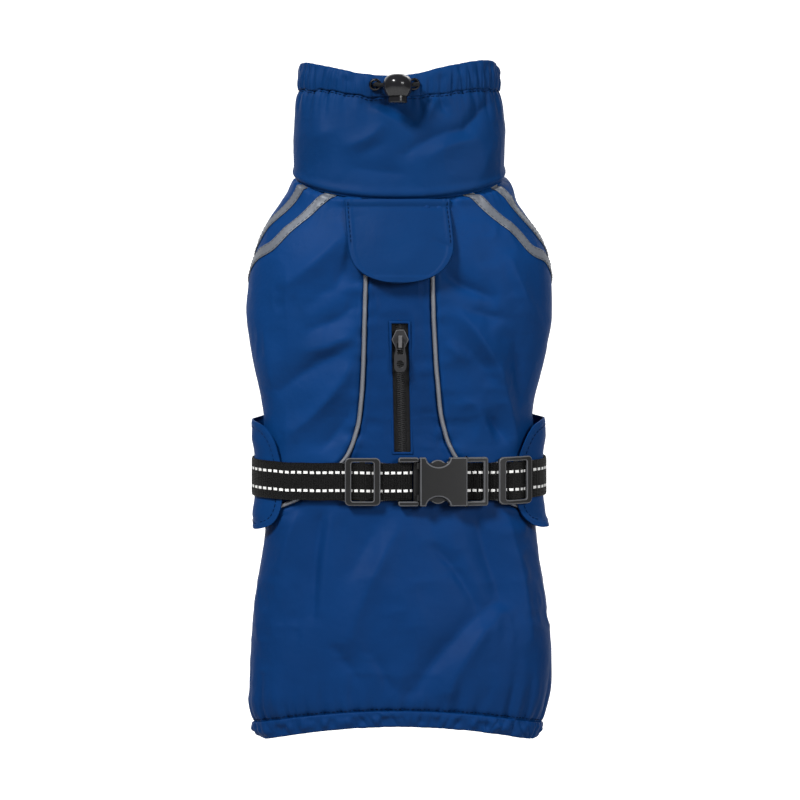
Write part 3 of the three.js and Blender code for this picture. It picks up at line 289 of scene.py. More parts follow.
class CoatForm:
    """The coat's own surface, as angle in degrees from the middle of the back and ring height."""

    KEYS = ("tilt", "dip", "left", "right", "back", "belly", "skew")

    crease_gain = 1.8

    def __init__(self) -> None:
        """Keep each ring table as one curve for every key."""
        self.body = {key: [(r.at, getattr(r, key)) for r in BODY_RINGS] for key in self.KEYS}
        self.collar = {key: [(r.at, getattr(r, key)) for r in COLLAR_RINGS] for key in self.KEYS}

    @staticmethod
    def ring_xy(ring: dict[str, Array], angle: Array) -> tuple[Array, Array]:
        """Return the plan of a ring at some angles."""
        turn = np.radians(angle)
        depth = np.where(np.cos(turn) > 0, ring["back"], ring["belly"])
        square = 1.05 * np.cos(turn) - 0.05 * np.cos(3 * turn)
        x = np.where(turn < 0, ring["left"], ring["right"]) * np.sin(turn)
        return x, -depth * square + ring["skew"] * np.sin(turn)

    def ring(self, at: Array) -> dict[str, Array]:
        """Return the body's ring sizes at a height."""
        return {key: along(rows, at) for key, rows in self.body.items()}

    def body_base(self, angle: Array, at: Array) -> Array:
        """Return points of the body without folds."""
        angle, at = np.broadcast_arrays(unwrap(angle), np.asarray(at, float))
        ring = self.ring(at)
        x, y = self.ring_xy(ring, angle)
        turn = np.radians(angle)
        z = at + ring["tilt"] * (1 - np.cos(turn)) - ring["dip"] * np.sin(turn) ** 2
        return np.stack([x, y, z], axis=-1)

    def collar_base(self, angle: Array, share: Array) -> Array:
        """Return points of the collar without folds, by the share of its height."""
        angle, share = np.broadcast_arrays(unwrap(angle), np.asarray(share, float))
        ring = {key: along(rows, share) for key, rows in self.collar.items()}
        x, y = self.ring_xy(ring, angle)
        low = 18 * (1 - np.cos(np.radians(angle)))
        return np.stack([x, y, low + (self.casing_seam(angle) - low) * share], axis=-1)

    @staticmethod
    def casing_seam(angle: Array) -> Array:
        """Return the height of the uneven seam between the collar and its casing."""
        turn = np.radians(angle)
        rise = 3 * np.sin(turn) ** 2 + along(SEAM_RISE, np.sin(turn))
        return STITCH_Z + rise + 0.9 * line_noise(turn * COLLAR_RADIUS, 5.5, 54)

    @staticmethod
    def outward(base: Callable[[Array, Array], Array], angle: Array, at: Array, step: float) -> Array:
        """Return the unit vectors out of a surface."""
        across = base(angle + 0.4, at) - base(angle - 0.4, at)
        up = base(angle, at + step) - base(angle, at - step)
        normal = np.cross(across, up)
        return normal / np.linalg.norm(normal, axis=-1, keepdims=True)

    def body_way(self, angle: Array, at: Array) -> Array:
        """Return the unit vectors out of the body."""
        return self.outward(self.body_base, angle, at, 0.5)

    @staticmethod
    def belt_share(angle: Array) -> Array:
        """Return the share of the belt's rise at an angle."""
        return ((1 - np.cos(np.radians(angle))) / 2) ** 2

    def arc(self, angle: Array, at: float) -> Array:
        """Return the distance round a ring from the middle of the back."""
        turns = np.linspace(-185, 185, 741)
        points = self.body_base(turns, np.full(turns.shape, at))
        steps = np.linalg.norm(np.diff(points, axis=0), axis=1)
        total = np.concatenate([[0], np.cumsum(steps)])
        total -= np.interp(0, turns, total)
        return np.interp(unwrap(angle), turns, total)

    def wrinkles(self, points: Array) -> Array:
        """Return the slight unevenness of light coated cloth."""
        slow = points * np.array([1.0, 1.0, 0.7])
        wave = 0.8 * lattice_noise(slow, 30.0, 3) + 1.3 * (0.3 - np.abs(lattice_noise(slow, 21.0, 5)))
        patches = smooth(lattice_noise(points, 34.0, 13), -0.2, 0.35)
        crinkle = 0.8 * (0.3 - np.abs(lattice_noise(points, 10.0, 9))) * patches
        return wave + crinkle + 0.10 * lattice_noise(points, 5.0, 11)

    def hem_gathers(self, angle: Array, at: Array) -> Array:
        """Return the gathers that rise from the hem seam into the skirt."""
        u = self.arc(angle, HEM_SEAM)
        above = np.maximum(at - HEM_SEAM, 0.0)
        fine = (ruche(u, 5.6, 61) - 0.5) * np.exp(-above / 5.0)
        lean = u + above * 0.22 * line_noise(u, 30.0, 24)
        middle = (ruche(lean, 10.5, 62) - 0.5) * np.exp(-above / 11.0)
        broad = (ruche(lean, 19.0, 64) - 0.5) * np.exp(-(((above - 9) / 14.0) ** 2))
        return 2.2 * fine + 3.0 * middle + 2.2 * broad - 1.2 * np.exp(-((above / 1.5) ** 2))

    def neck_gathers(self, angle: Array, at: Array) -> Array:
        """Return the small puckers under the collar's seam."""
        u = self.arc(angle, -5.5)
        below = np.maximum(-at, 0.0)
        return 1.9 * (ruche(u, 7.5, 91) - 0.5) * np.exp(-below / 5.0) * smooth(below, 0.0, 1.5)

    def folds(self, angle: Array, at: Array, base: Array) -> Array:
        """Return the height of every fold of the body."""
        angle = unwrap(angle)
        side = np.cos(np.radians(angle))
        away = np.abs(at - BELT_Z - BELT_RISE * self.belt_share(angle))
        calm = smooth(away, 14, 28) * smooth(-at, 3, 16) * smooth(at, HEM_SEAM + 2, HEM_SEAM + 14)
        back = crease_height(BACK_CREASES, base[..., 0], base[..., 2]) * smooth(side, -0.1, 0.2)
        belly = crease_height(BELLY_CREASES, base[..., 0], base[..., 2]) * smooth(-side, -0.1, 0.2)
        yoke = np.where((np.abs(angle) < 90) & (at > -200), smooth(np.abs(base[..., 0]), 22, 34), 1.0)
        uneven = self.wrinkles(base) * (0.35 + 0.65 * calm)
        gathers = self.hem_gathers(angle, at) + self.neck_gathers(angle, at) * yoke
        return self.crease_gain * calm * (back * yoke + belly) + uneven + gathers

    def cloth(self, angle: Array, at: Array, lift: Array | float = 0.0) -> Array:
        """Return points of the body's cloth in millimetres, at a height off its surface."""
        angle, at = np.broadcast_arrays(np.asarray(angle, float), np.asarray(at, float))
        base = self.body_base(angle, at)
        way = self.body_way(angle, at)
        return base + way * (self.folds(angle, at, base) + lift)[..., None]

    def collar_cloth(self, angle: Array, share: Array, lift: Array | float = 0.0) -> Array:
        """Return points of the collar's cloth, with the puckers that hang from its casing."""
        angle, share = np.broadcast_arrays(np.asarray(angle, float), np.asarray(share, float))
        base = self.collar_base(angle, share)
        side = np.cos(np.radians(angle))
        u = np.radians(unwrap(angle)) * COLLAR_RADIUS
        below = np.maximum((1 - share) * 60.0, 0.0)
        open_stretch = 1 - 0.8 * np.exp(-((unwrap(angle) / 13) ** 2))
        fine = 2.7 * (ruche(u, 6.4, 51) - 0.5) * np.exp(-below / 5.5)
        puckers = fine + 1.4 * (ruche(u, 2.9, 57) - 0.5) * np.exp(-below / 3.0)
        puckers = open_stretch * (puckers + 1.5 * (ruche(u, 14.0, 33) - 0.5) * np.exp(-(((below - 6) / 9) ** 2)))
        calm = smooth(share, 0.02, 0.15) * smooth(1 - share, 0.0, 0.08)
        mirrored = crease_height(COLLAR_CREASES, -base[..., 0], base[..., 2] - 8) * smooth(-side, 0, 0.3)
        folds = crease_height(COLLAR_CREASES, base[..., 0], base[..., 2]) * smooth(side, 0, 0.3)
        roll = 1.3 * np.exp(-(((share - 0.05) / 0.045) ** 2)) - 1.2 * np.exp(-((share / 0.02) ** 2))
        height = self.crease_gain * calm * (folds + mirrored) + puckers + roll + 0.6 * self.wrinkles(base)
        way = self.outward(self.collar_base, angle, share, 0.02)
        return base + way * (height + lift)[..., None]

    def wing_lift(self, angle: Array, at: Array) -> Array:
        """Return how far the belly panel's outer face stands off the body."""
        angle = unwrap(angle)
        free = smooth(-np.asarray(at, float), 40, 100)
        away = np.abs(at - BELT_Z - BELT_RISE * self.belt_share(angle))
        full = 6.4 + 1.6 * smooth(away, BELT_WIDTH / 2 + 1, BELT_WIDTH + 2)
        return free * (2.6 + (full - 2.6) * np.exp(-(((np.abs(angle) - 91) / 25) ** 2)))

    def place_at(self, x: float, z: float) -> Place:
        """Return the angle and ring height of a point seen from behind."""
        angle, at = 0.0, z
        for _ in range(12):
            ring = self.ring(np.array(at))
            wide = float(ring["left"] if x < 0 else ring["right"])
            angle = math.degrees(math.asin(max(-0.99, min(0.99, x / wide))))
            turn = math.radians(angle)
            at = z - float(ring["tilt"]) * (1 - math.cos(turn)) + float(ring["dip"]) * math.sin(turn) ** 2
        return angle, at


FORM = CoatForm()


# Meshes


def make_piece(name: str, points: Array, faces: Sequence[Sequence[int]], uvs: Array | None = None) -> bpy.types.Object:
    """Make a mesh piece from points in millimetres.

    Args:
        name: the piece's name.
        points: the vertices, in millimetres.
        faces: vertex numbers of each face.
        uvs: one pair of metres for each vertex, for patterns that follow the cloth.

    Returns:
        The new object, in the scene.
    """
    mesh = bpy.data.meshes.new(name)
    mesh.from_pydata((np.asarray(points) * MM).tolist(), [], [list(face) for face in faces])
    if uvs is not None:
        layer = mesh.uv_layers.new(name="UVMap")
        loops = np.empty(len(mesh.loops), dtype=np.int64)
        mesh.loops.foreach_get("vertex_index", loops)
        layer.data.foreach_set("uv", np.asarray(uvs)[loops].astype(np.float32).ravel())
    mesh.shade_smooth()
    mesh.update()
    piece = bpy.data.objects.new(name, mesh)
    bpy.context.scene.collection.objects.link(piece)
    return piece


def resample(places: Sequence[Place], count: int) -> Array:
    """Return a smooth curve through places, with evenly spaced points."""
    curve = dense(places, 16)
    solid = FORM.body_base(curve[:, 0], curve[:, 1])
    run = np.concatenate([[0], np.cumsum(np.linalg.norm(np.diff(solid, axis=0), axis=1))])
    even = np.linspace(0, run[-1], count)
    return np.stack([np.interp(even, run, curve[:, k]) for k in range(2)], axis=-1)


def beside(path: Array, shift: float) -> Array:
    """Move a path of places sideways on the body, to the right of a path that runs down."""
    step = np.gradient(path, axis=0)
    wide = FORM.body_base(path[:, 0] + 1, path[:, 1]) - FORM.body_base(path[:, 0] - 1, path[:, 1])
    per_degree = np.linalg.norm(wide, axis=1) / 2
    run_x, run_z = step[:, 0] * per_degree, step[:, 1]
    length = np.hypot(run_x, run_z)
    return np.stack([path[:, 0] - run_z / length * shift / per_degree, path[:, 1] + run_x / length * shift], axis=-1)


def dense(places: Sequence[Sequence[float]], steps: int) -> Array:
    """Return a smooth curve through places or points with the same number of steps in every stretch."""
    points = np.array(places, float)
    ghosts = np.concatenate([[2 * points[0] - points[1]], points, [2 * points[-1] - points[-2]]])
    t = (np.arange(steps) / steps)[:, None]
    parts = []
    for i in range(len(points) - 1):
        p0, p1, p2, p3 = ghosts[i : i + 4]
        bend = (2 * p0 - 5 * p1 + 4 * p2 - p3) * t**2 + (3 * p1 - p0 - 3 * p2 + p3) * t**3
        parts.append((2 * p1 + (p2 - p0) * t + bend) / 2)
    return np.concatenate([*parts, points[-1:]])


def edge_distance(points: Array, edge: Array) -> Array:
    """Return how far each point lies from a line of edge points."""
    flat = points.reshape(-1, 3)
    parts = []
    for start in range(0, len(flat), 4000):
        gap = flat[start : start + 4000, None, :] - edge[None, :, :]
        parts.append(np.sqrt((gap**2).sum(axis=-1).min(axis=1)))
    return np.concatenate(parts).reshape(points.shape[:-1])


def wall_mesh(name: str, outer: Array, inner: Array, uv: Array, keep: Array | None = None,
              loop: bool = False) -> bpy.types.Object:
    """Make a closed wall of cloth whose inner face has half as many rows and columns.

    Args:
        name: the piece's name.
        outer: points of the outer face, rows from top to bottom that run to the right.
        inner: the same points on the inner face.
        uv: pairs of metres for each outer point.
        keep: which cells of the grid are cloth, in blocks of two by two.
        loop: whether the rows close on themselves.

    Returns:
        The new object.
    """
    rows, columns = outer.shape[:2]
    wide = columns if loop else columns - 1
    keep = np.ones((rows - 1, wide), bool) if keep is None else keep
    ids = np.arange(rows * columns).reshape(rows, columns)
    r, c = np.nonzero(keep)
    over = (c + 1) % columns
    quads = np.stack([ids[r, c], ids[r + 1, c], ids[r + 1, over], ids[r, over]], axis=-1)
    small = inner[::2, ::2]
    small_ids = np.arange(small.shape[0] * small.shape[1]).reshape(small.shape[:2]) + ids.size
    kept = keep[::2, ::2]
    i, j = np.nonzero(kept)
    far = (j + 1) % small.shape[1]
    back = [small_ids[i, j], small_ids[i, far], small_ids[i + 1, far], small_ids[i + 1, j]]
    faces = [*quads.tolist(), *np.stack(back, axis=-1).tolist()]

    def missing(row: int, column: int) -> bool:
        """Tell whether there is no cloth in a block."""
        if loop:
            column %= kept.shape[1]
        return not (0 <= row < kept.shape[0] and 0 <= column < kept.shape[1] and kept[row, column])

    for row, column in zip(i.tolist(), j.tolist()):
        a, b, c0 = 2 * row, 2 * column, (2 * column + 2) % columns
        s, after = (row, column), (column + 1) % small.shape[1]
        corners = small_ids[row, column], small_ids[row, after], small_ids[row + 1, column], small_ids[row + 1, after]
        if missing(row - 1, column):
            faces.append([ids[a, b], ids[a, b + 1], ids[a, c0], corners[1], corners[0]])
        if missing(row + 1, column):
            faces.append([ids[a + 2, c0], ids[a + 2, b + 1], ids[a + 2, b], corners[2], corners[3]])
        if missing(row, column - 1):
            faces.append([ids[a + 2, b], ids[a + 1, b], ids[a, b], corners[0], corners[2]])
        if missing(row, column + 1):
            faces.append([ids[a, c0], ids[a + 1, c0], ids[a + 2, c0], corners[3], corners[1]])
    used = np.zeros(ids.size + small_ids.size, bool)
    used[np.concatenate([np.array(face, int) for face in faces])] = True
    renamed = np.cumsum(used) - 1
    points = np.concatenate([outer.reshape(-1, 3), small.reshape(-1, 3)])[used]
    pairs = np.concatenate([uv.reshape(-1, 2), uv[::2, ::2].reshape(-1, 2)])[used]
    piece = make_piece(name, points, [renamed[np.array(face, int)].tolist() for face in faces], pairs)
    piece.data.set_sharp_from_angle(angle=math.radians(65))
    return piece


# Seams and edges of the cut

YOKE_SEAM = (
    (0, -22.3, 22.2), (-12, -22.2, 22.2), (-26, -22.1, 22.2), (-40, -22.0, 22.3), (-54, -22.1, 22.5),
    (-67, -22.5, 22.8), (-82, -22.9, 23.3), (-97, -23.3, 24.1), (-112, -23.8, 24.9), (-126, -24.5, 26.2),
    (-138, -25.6, 27.3), (-149, -27.0, 29.2), (-158, -29.4, 31.6), (-166, -32.2, 34.8), (-173, -36.0, 38.8),
    (-181, -43.5, 46.0), (-189, -52.5, 54.5), (-195, -60.0, 61.5), (-199.5, -67.0, 68.0), (-204, -77.0, 77.5),
)
FLANK_SEAM = ((-205.4, 65), (-206.5, 73), (-208.6, 90), (-210.6, 107), (-212.4, 122))
SKIRT_ROWS = (-222, -233, -245, -258, -271, -284, -297, -309, -320, -329, -335.5, HEM_SEAM)
FLANK_EDGE = ((-213, 126), (-245, 125), (-300, 121), (HEM_SEAM, 118))
SIDE_EDGE = (
    (0, 128), (-12, 128), (-26, 128), (-40, 128), (-54, 119), (-66, 110.5), (-80, 108), (-94, 110.5),
    (-106, 118), (-114, 126.5), (-130, 127), (-213, 126),
)
BELLY_EDGE = (
    (0, 128), (-12, 128), (-26, 128), (-40, 128), (-54, 138), (-66, 146), (-80, 148), (-94, 145),
    (-104, 139), (-116, 133), (-127, 127.5), (-136, 121), (-142, 112), (-145, 101), (-146.5, 90),
    (-148.5, 79.5), (-152, 70.5), (-160, 63.5), (-172, 59.5), (-186, 57.5), (-200, 57.6), (-208, 59),
    (-214, 62), (-218, 67.5), (-220.5, 77), (-221.5, 86),
)


def yoke_seam(side: int) -> list[Place]:
    """Return the seam of the back panel as angles and ring heights, on one side."""
    upper = []
    for at, left, right in YOKE_SEAM:
        ring = FORM.ring(np.array(float(at)))
        x, wide = (left, float(ring["left"])) if side < 0 else (right, float(ring["right"]))
        upper.append((math.degrees(math.asin(x / wide)), at))
    return [*upper, *((side * angle, at) for at, angle in FLANK_SEAM)]


@dataclass
class Panel:
    """One cut piece of cloth between two edges, shaped as it is worn."""

    name: str
    left: Array
    right: Array
    shares: Array
    lift: Callable[[Array, Array], Array]
    rise: Callable[[Array, Array], Array]
    sewn: Sequence[Array] = ()
    turned: Sequence[Array] = ()
    hole: tuple[slice, slice] | None = None
    thick: float = 1.0

    def places(self) -> tuple[Array, Array]:
        """Return the angle and ring height of each point of the panel's grid."""
        share = self.shares if self.shares.ndim == 2 else self.shares[None, :]
        left, right = self.left[:, None, :], self.right[:, None, :]
        grid = left + (right - left) * share[..., None]
        return grid[..., 0], grid[..., 1] + self.tuck(grid[..., 1]) + self.rise(grid[..., 0], grid[..., 1])

    @staticmethod
    def tuck(at: Array) -> Array:
        """Return how far the cloth runs on into the collar's seam and into the hem's channel."""
        return 0.8 * smooth(at, -2, 0) - 2.6 * smooth(-at, -HEM_SEAM - 4, -HEM_SEAM)

    def relief(self, base: Array) -> Array:
        """Return the rolled seams with their puckers, and the turned hems of free edges."""
        height = np.zeros(base.shape[:-1])
        for edge in self.sewn:
            away = edge_distance(base, FORM.body_base(edge[:, 0], edge[:, 1]))
            drag = lattice_noise(base * np.array([0.4, 0.4, 1.0]), 6.0, 41)
            pucker = drag * np.exp(-away / 9.0) * smooth(away, 0.0, 2.0)
            height += 1.7 * pucker - 1.8 * np.exp(-((away / 2.1) ** 4)) + 0.4 * np.exp(-(((away - 4) / 1.8) ** 2))
        for edge in self.turned:
            away = edge_distance(base, FORM.body_base(edge[:, 0], edge[:, 1]))
            fold = smooth(6.0 - away, 0.0, 1.2) - 0.8 * np.exp(-(((away - 4.6) / 0.9) ** 2))
            height += 0.5 * fold + 0.7 * lattice_noise(base, 8.0, 43) * np.exp(-away / 6.0)
        return height

    def build(self) -> bpy.types.Object:
        """Return the panel's wall."""
        angle, at = self.places()
        base = FORM.body_base(angle, at)
        height = self.lift(angle, at) + self.relief(base)
        outer = FORM.cloth(angle, at, height)
        inner = FORM.cloth(angle, at, height - self.thick)
        keep = np.ones((angle.shape[0] - 1, angle.shape[1] - 1), bool)
        if self.hole is not None:
            keep[self.hole] = False
        uv = np.stack([np.radians(angle) * 0.075, at * MM], axis=-1)
        return wall_mesh(self.name, outer, inner, uv, keep)


def no_lift(angle: Array, at: Array) -> Array:
    """Return the height of cloth that lies in the body's own surface."""
    return np.zeros(np.shape(angle))


@dataclass
class Shell:
    """The coat's body: the back with its skirt, both sides and the belly with its wing tabs."""

    steps: int = 8
    side_cells: int = 96
    belly_cells: int = 160
    yoke_cells: int = 84
    window_cells: int = 16
    window_top: float = -82.5
    window_bottom: float = -168.9
    window_half: float = 5.85
    window_top_x: float = 0.6
    window_bottom_x: float = 2.4

    def seam(self, side: int) -> Array:
        """Return the dense seam of the back on one side, with rows at the window's ends."""
        path = dense(yoke_seam(side), self.steps)
        for level in (self.window_top, self.window_bottom):
            row = int(np.argmin(np.abs(path[::2, 1] - level))) * 2
            path[row, 1] = level
        return path

    def window_shares(self, left: Array, right: Array) -> Array:
        """Return the columns of the back, two of which follow the window's sides."""
        at = left[:, 1]
        run = np.clip((self.window_top - at) / (self.window_top - self.window_bottom), 0, 1)
        middle = self.window_top_x + (self.window_bottom_x - self.window_top_x) * run
        ring = FORM.ring(at)
        start, end = left[:, 0], right[:, 0]
        half = self.window_half
        first = np.degrees(np.arcsin((middle - half) / np.where(middle < half, ring["left"], ring["right"])))
        second = np.degrees(np.arcsin((middle + half) / ring["right"]))
        total = 2 * self.yoke_cells + self.window_cells
        away = smooth(-at, 170, 215)
        a = (first - start) / (end - start) * (1 - away) + self.yoke_cells / total * away
        b = (second - start) / (end - start) * (1 - away) + (self.yoke_cells + self.window_cells) / total * away
        side = np.linspace(0, 1, self.yoke_cells + 1)[None, :]
        inside = np.linspace(0, 1, self.window_cells + 1)[None, 1:]
        a, b = a[:, None], b[:, None]
        return np.concatenate([a * side, a + (b - a) * inside, b + (1 - b) * side[:, 1:]], axis=1)

    def back(self) -> bpy.types.Object:
        """Return the back panel with its zip window and the skirt."""
        skirt = [(along(FLANK_EDGE, at), at) for at in SKIRT_ROWS]
        edges = []
        for side in (-1, 1):
            seam = self.seam(side)
            tail = dense([tuple(seam[-1]), *((side * float(angle), at) for angle, at in skirt)], self.steps)
            edges.append(np.concatenate([seam, tail[1:]]))
        left, right = edges
        rows = [int(np.argmin(np.abs(left[:, 1] - level))) for level in (self.window_top, self.window_bottom)]
        hole = (slice(*rows), slice(self.yoke_cells, self.yoke_cells + self.window_cells))
        top = np.stack([np.linspace(left[0, 0], right[0, 0], 60), np.zeros(60)], axis=-1)
        tails = [edge[-12 * self.steps :] for edge in edges]
        seams = [edge[: -12 * self.steps] for edge in edges]
        return Panel("back_cloth", left, right, self.window_shares(left, right), no_lift, no_lift,
                     sewn=[*seams, top], turned=tails, hole=hole).build()

    def side(self, side: int) -> Panel:
        """Return one side panel, from the piping round the flank."""
        seam = self.seam(side)
        free = np.stack([side * along(SIDE_EDGE, seam[:, 1]), seam[:, 1]], axis=-1)
        leg = free[(free[:, 1] < -44) & (free[:, 1] > -116)]
        ends = sorted([seam[0, 0], free[0, 0]])
        top = np.stack([np.linspace(*ends, 120), np.zeros(120)], axis=-1)
        edges = (free, seam) if side < 0 else (seam, free)
        name = "side_cloth_left" if side < 0 else "side_cloth_right"
        shares = np.linspace(0, 1, self.side_cells + 1)
        return Panel(name, *edges, shares, no_lift, no_lift, sewn=[seam, top], turned=[leg])

    def belly(self) -> bpy.types.Object:
        """Return the belly panel with its two wing tabs."""
        start = dense([(angle, at) for at, angle in BELLY_EDGE], self.steps)
        end = np.stack([360 - start[:, 0], start[:, 1]], axis=-1)
        free = [edge[edge[:, 1] < -44] for edge in (start, end)]
        low = np.stack([np.linspace(start[-1, 0], end[-1, 0], 200), np.full(200, start[-1, 1])], axis=-1)
        low[:, 1] += self.wing_corner(low[:, 0], low[:, 1])
        shares = np.linspace(0, 1, self.belly_cells + 1)
        return Panel("belly_cloth", start, end, shares, FORM.wing_lift, self.wing_corner, turned=[*free, low]).build()

    @staticmethod
    def wing_corner(angle: Array, at: Array) -> Array:
        """Return how far the wings' lower edge rises as it rounds the flank."""
        return 4.5 * np.exp(-(((np.abs(unwrap(angle)) - 100) / 13) ** 2)) * smooth(-np.asarray(at), 196, 221.5)


def casing_wall(name: str, profile: Sequence[tuple[float, float, float]], angles: Array,
                place: Callable[[Array, Array, Array], Array], gathers: Callable[[Array, Array], Array],
                loop: bool) -> bpy.types.Object:
    """Make a gathered channel of cloth.

    Args:
        name: the piece's name.
        profile: share of the channel's height, height off the form and how much it gathers, once round.
        angles: the columns.
        place: turns angle, share and height into points.
        gathers: turns angle and share into the height of the gathers, from 0 to 1.
        loop: whether the channel closes on itself.

    Returns:
        The new object.
    """
    share, height, weight = (np.array(column)[:, None] for column in zip(*profile))
    points = place(angles[None, :], share + 0 * angles, height + weight * gathers(angles[None, :], share))
    count, columns = points.shape[:2]
    ids = np.arange(count * columns).reshape(count, columns)
    faces = []
    wide = columns if loop else columns - 1
    for row in range(count):
        for column in range(wide):
            after, over = (row + 1) % count, (column + 1) % columns
            faces.append([int(i) for i in (ids[row, column], ids[after, column], ids[after, over], ids[row, over])])
    if not loop:
        faces.append([int(i) for i in ids[:, 0][::-1]])
        faces.append([int(i) for i in ids[:, -1]])
    around = np.cumsum(np.concatenate([[0], np.linalg.norm(np.diff(points[:, 0], axis=0), axis=1)]))
    u = np.radians(angles) * 0.055
    uv = np.stack(np.broadcast_arrays(u[None, :], -around[:, None] * MM), axis=-1)
    return make_piece(name, points.reshape(-1, 3), faces, uv.reshape(-1, 2))


def channel_profile(full: float, base: float, inner: float, gather: float, steps: int = 12,
                    rounded: float = 0.04) -> list[tuple[float, float, float]]:
    """Return the section of a flat channel: down its outer face and up its inner one."""
    rows = []
    for share in np.linspace(1 - rounded, rounded / 2, steps):
        bulge = math.sin(math.pi * (0.12 + 0.8 * share))
        rows.append((float(share), base + full * bulge, gather * bulge))
    rows.append((0.0, base * 0.3, gather * 0.1))
    rows.extend((float(share), inner, 0.0) for share in np.linspace(0.02, 1 - 2 * rounded, 8))
    rows.append((1 - rounded / 2, inner * 0.6, 0.1 * gather))
    rows.append((1.0, base * 0.3, 0.4 * gather))
    return rows


@dataclass
class Collar:
    """The tall stand collar and the gathered casing for its drawstring."""

    columns: int = 320
    rows: int = 72
    casing_columns: int = 460
    casing_ring: tuple[float, float] = (66.3, 34.2)
    eyelets: tuple[tuple[float, float], ...] = ((-15.8, 76.3), (10.0, 76.6))

    def tube(self) -> bpy.types.Object:
        """Return the collar's tube of cloth."""
        angle = np.linspace(-180, 180, self.columns, endpoint=False)[None, :]
        share = 0.5 - 0.5 * np.cos(np.linspace(math.pi * 0.97, math.pi * 0.03, self.rows + 1))
        share = (share - share.min()) / (share.max() - share.min())
        share = (-0.004 + 1.034 * share)[:, None]
        outer = FORM.collar_cloth(angle, share, 0.6)
        inner = FORM.collar_cloth(angle, share, -0.5)
        uv = np.stack(np.broadcast_arrays(np.radians(angle) * 0.055, share * 0.068), axis=-1)
        return wall_mesh("collar_cloth", outer, inner, uv, loop=True)

    def casing_place(self, angle: Array, share: Array, height: Array) -> Array:
        """Return points of the casing, whose top edge waves with its gathers."""
        turn = np.radians(angle)
        wide, deep = self.casing_ring
        square = 1.05 * np.cos(turn) - 0.05 * np.cos(3 * turn)
        x, y = wide * np.sin(turn), -deep * square
        way = np.stack([deep * np.sin(turn), -wide * np.cos(turn)], axis=-1)
        way /= np.linalg.norm(way, axis=-1, keepdims=True)
        low = FORM.casing_seam(angle) + 0.15
        corner = np.where(angle > 0, 4.4, 2.0) * np.exp(-(((np.abs(angle) - 90) / 13) ** 2))
        high = 83 + 8.5 * np.sin(turn) ** 2 + along(CASING_RISE, np.sin(turn)) - corner
        wave = 0.4 * share**4 * (height - 1.0)
        z = low + (high - low) * share + wave
        return np.stack([x + way[..., 0] * height, y + way[..., 1] * height, z], axis=-1)

    def casing(self) -> bpy.types.Object:
        """Return the casing, gathered all round but for the stretch at the cord lock."""
        angles = np.linspace(-180, 180, self.casing_columns, endpoint=False)

        def gathers(angle: Array, share: Array) -> Array:
            """Return the gathers, sharp at the stitch line and leaning further up."""
            u = np.radians(angle) * 55
            place = np.stack(np.broadcast_arrays(u, share * 14, 0 * u), axis=-1)
            lean = u + (share - 0.2) * 5.0 * lattice_noise(place * [1, 0, 0], 14.0, 52)
            low, top = np.exp(-share / 0.3), smooth(share, 0.2, 0.9)
            pleats = ruche(lean, 6.4, 51) * (0.6 + 0.4 * low) + 0.9 * ruche(u, 2.9, 57) * low
            return (pleats + 0.5 * lattice_noise(place, 6.0, 53) * top - 0.4) * (1 - 0.8 * np.exp(-((angle / 13) ** 2)))

        profile = channel_profile(1.6, 0.5, -1.6, 2.6, steps=16)
        return casing_wall("collar_casing_cloth", profile, angles, self.casing_place, gathers, True)


@dataclass
class Hem:
    """The gathered elastic channel round the skirt's hem."""

    columns: int = 520
    edge: float = 118.0

    def place(self, angle: Array, share: Array, height: Array) -> Array:
        """Return points of the hem channel."""
        flank = smooth(np.abs(angle), 64, 92)
        at = HEM_SEAM - 0.15 - (HEM_HEIGHT - 0.15 - 3.4 * flank) * (1 - share)
        height = height - 2.2 * flank * (1 - share) ** 2
        angle, at = np.broadcast_arrays(angle, at)
        base = FORM.body_base(angle, at)
        way = FORM.body_way(angle, at)
        points = base + way * height[..., None]
        points[..., 2] -= 0.25 * (1 - share) ** 4 * (height - 1.0)
        return points

    def build(self) -> bpy.types.Object:
        """Return the channel."""
        angles = np.linspace(-self.edge, self.edge, self.columns)

        def gathers(angle: Array, share: Array) -> Array:
            """Return the gathers, uneven along the hem and crossed by slanting wrinkles."""
            u = FORM.arc(angle, HEM_SEAM)
            place = np.stack(np.broadcast_arrays(u, share * 11, 0 * u), axis=-1)
            lean = u + (share - 0.5) * 9.0 * lattice_noise(place * [1, 0, 0], 11.0, 63)
            tight = 0.55 + 0.45 * lattice_noise(place * [1, 0, 0], 40.0, 66)
            fine = 0.5 * ruche(u, 2.6, 67) * np.exp(-(1 - share) / 0.25)
            return tight * ruche(lean, 6.6, 61) + fine + 0.7 * lattice_noise(place, 5.0, 65) - 0.2

        profile = channel_profile(1.0, 0.3, -1.5, 1.8, steps=16)
        return casing_wall("hem_casing_cloth", profile, angles, self.place, gathers, False)


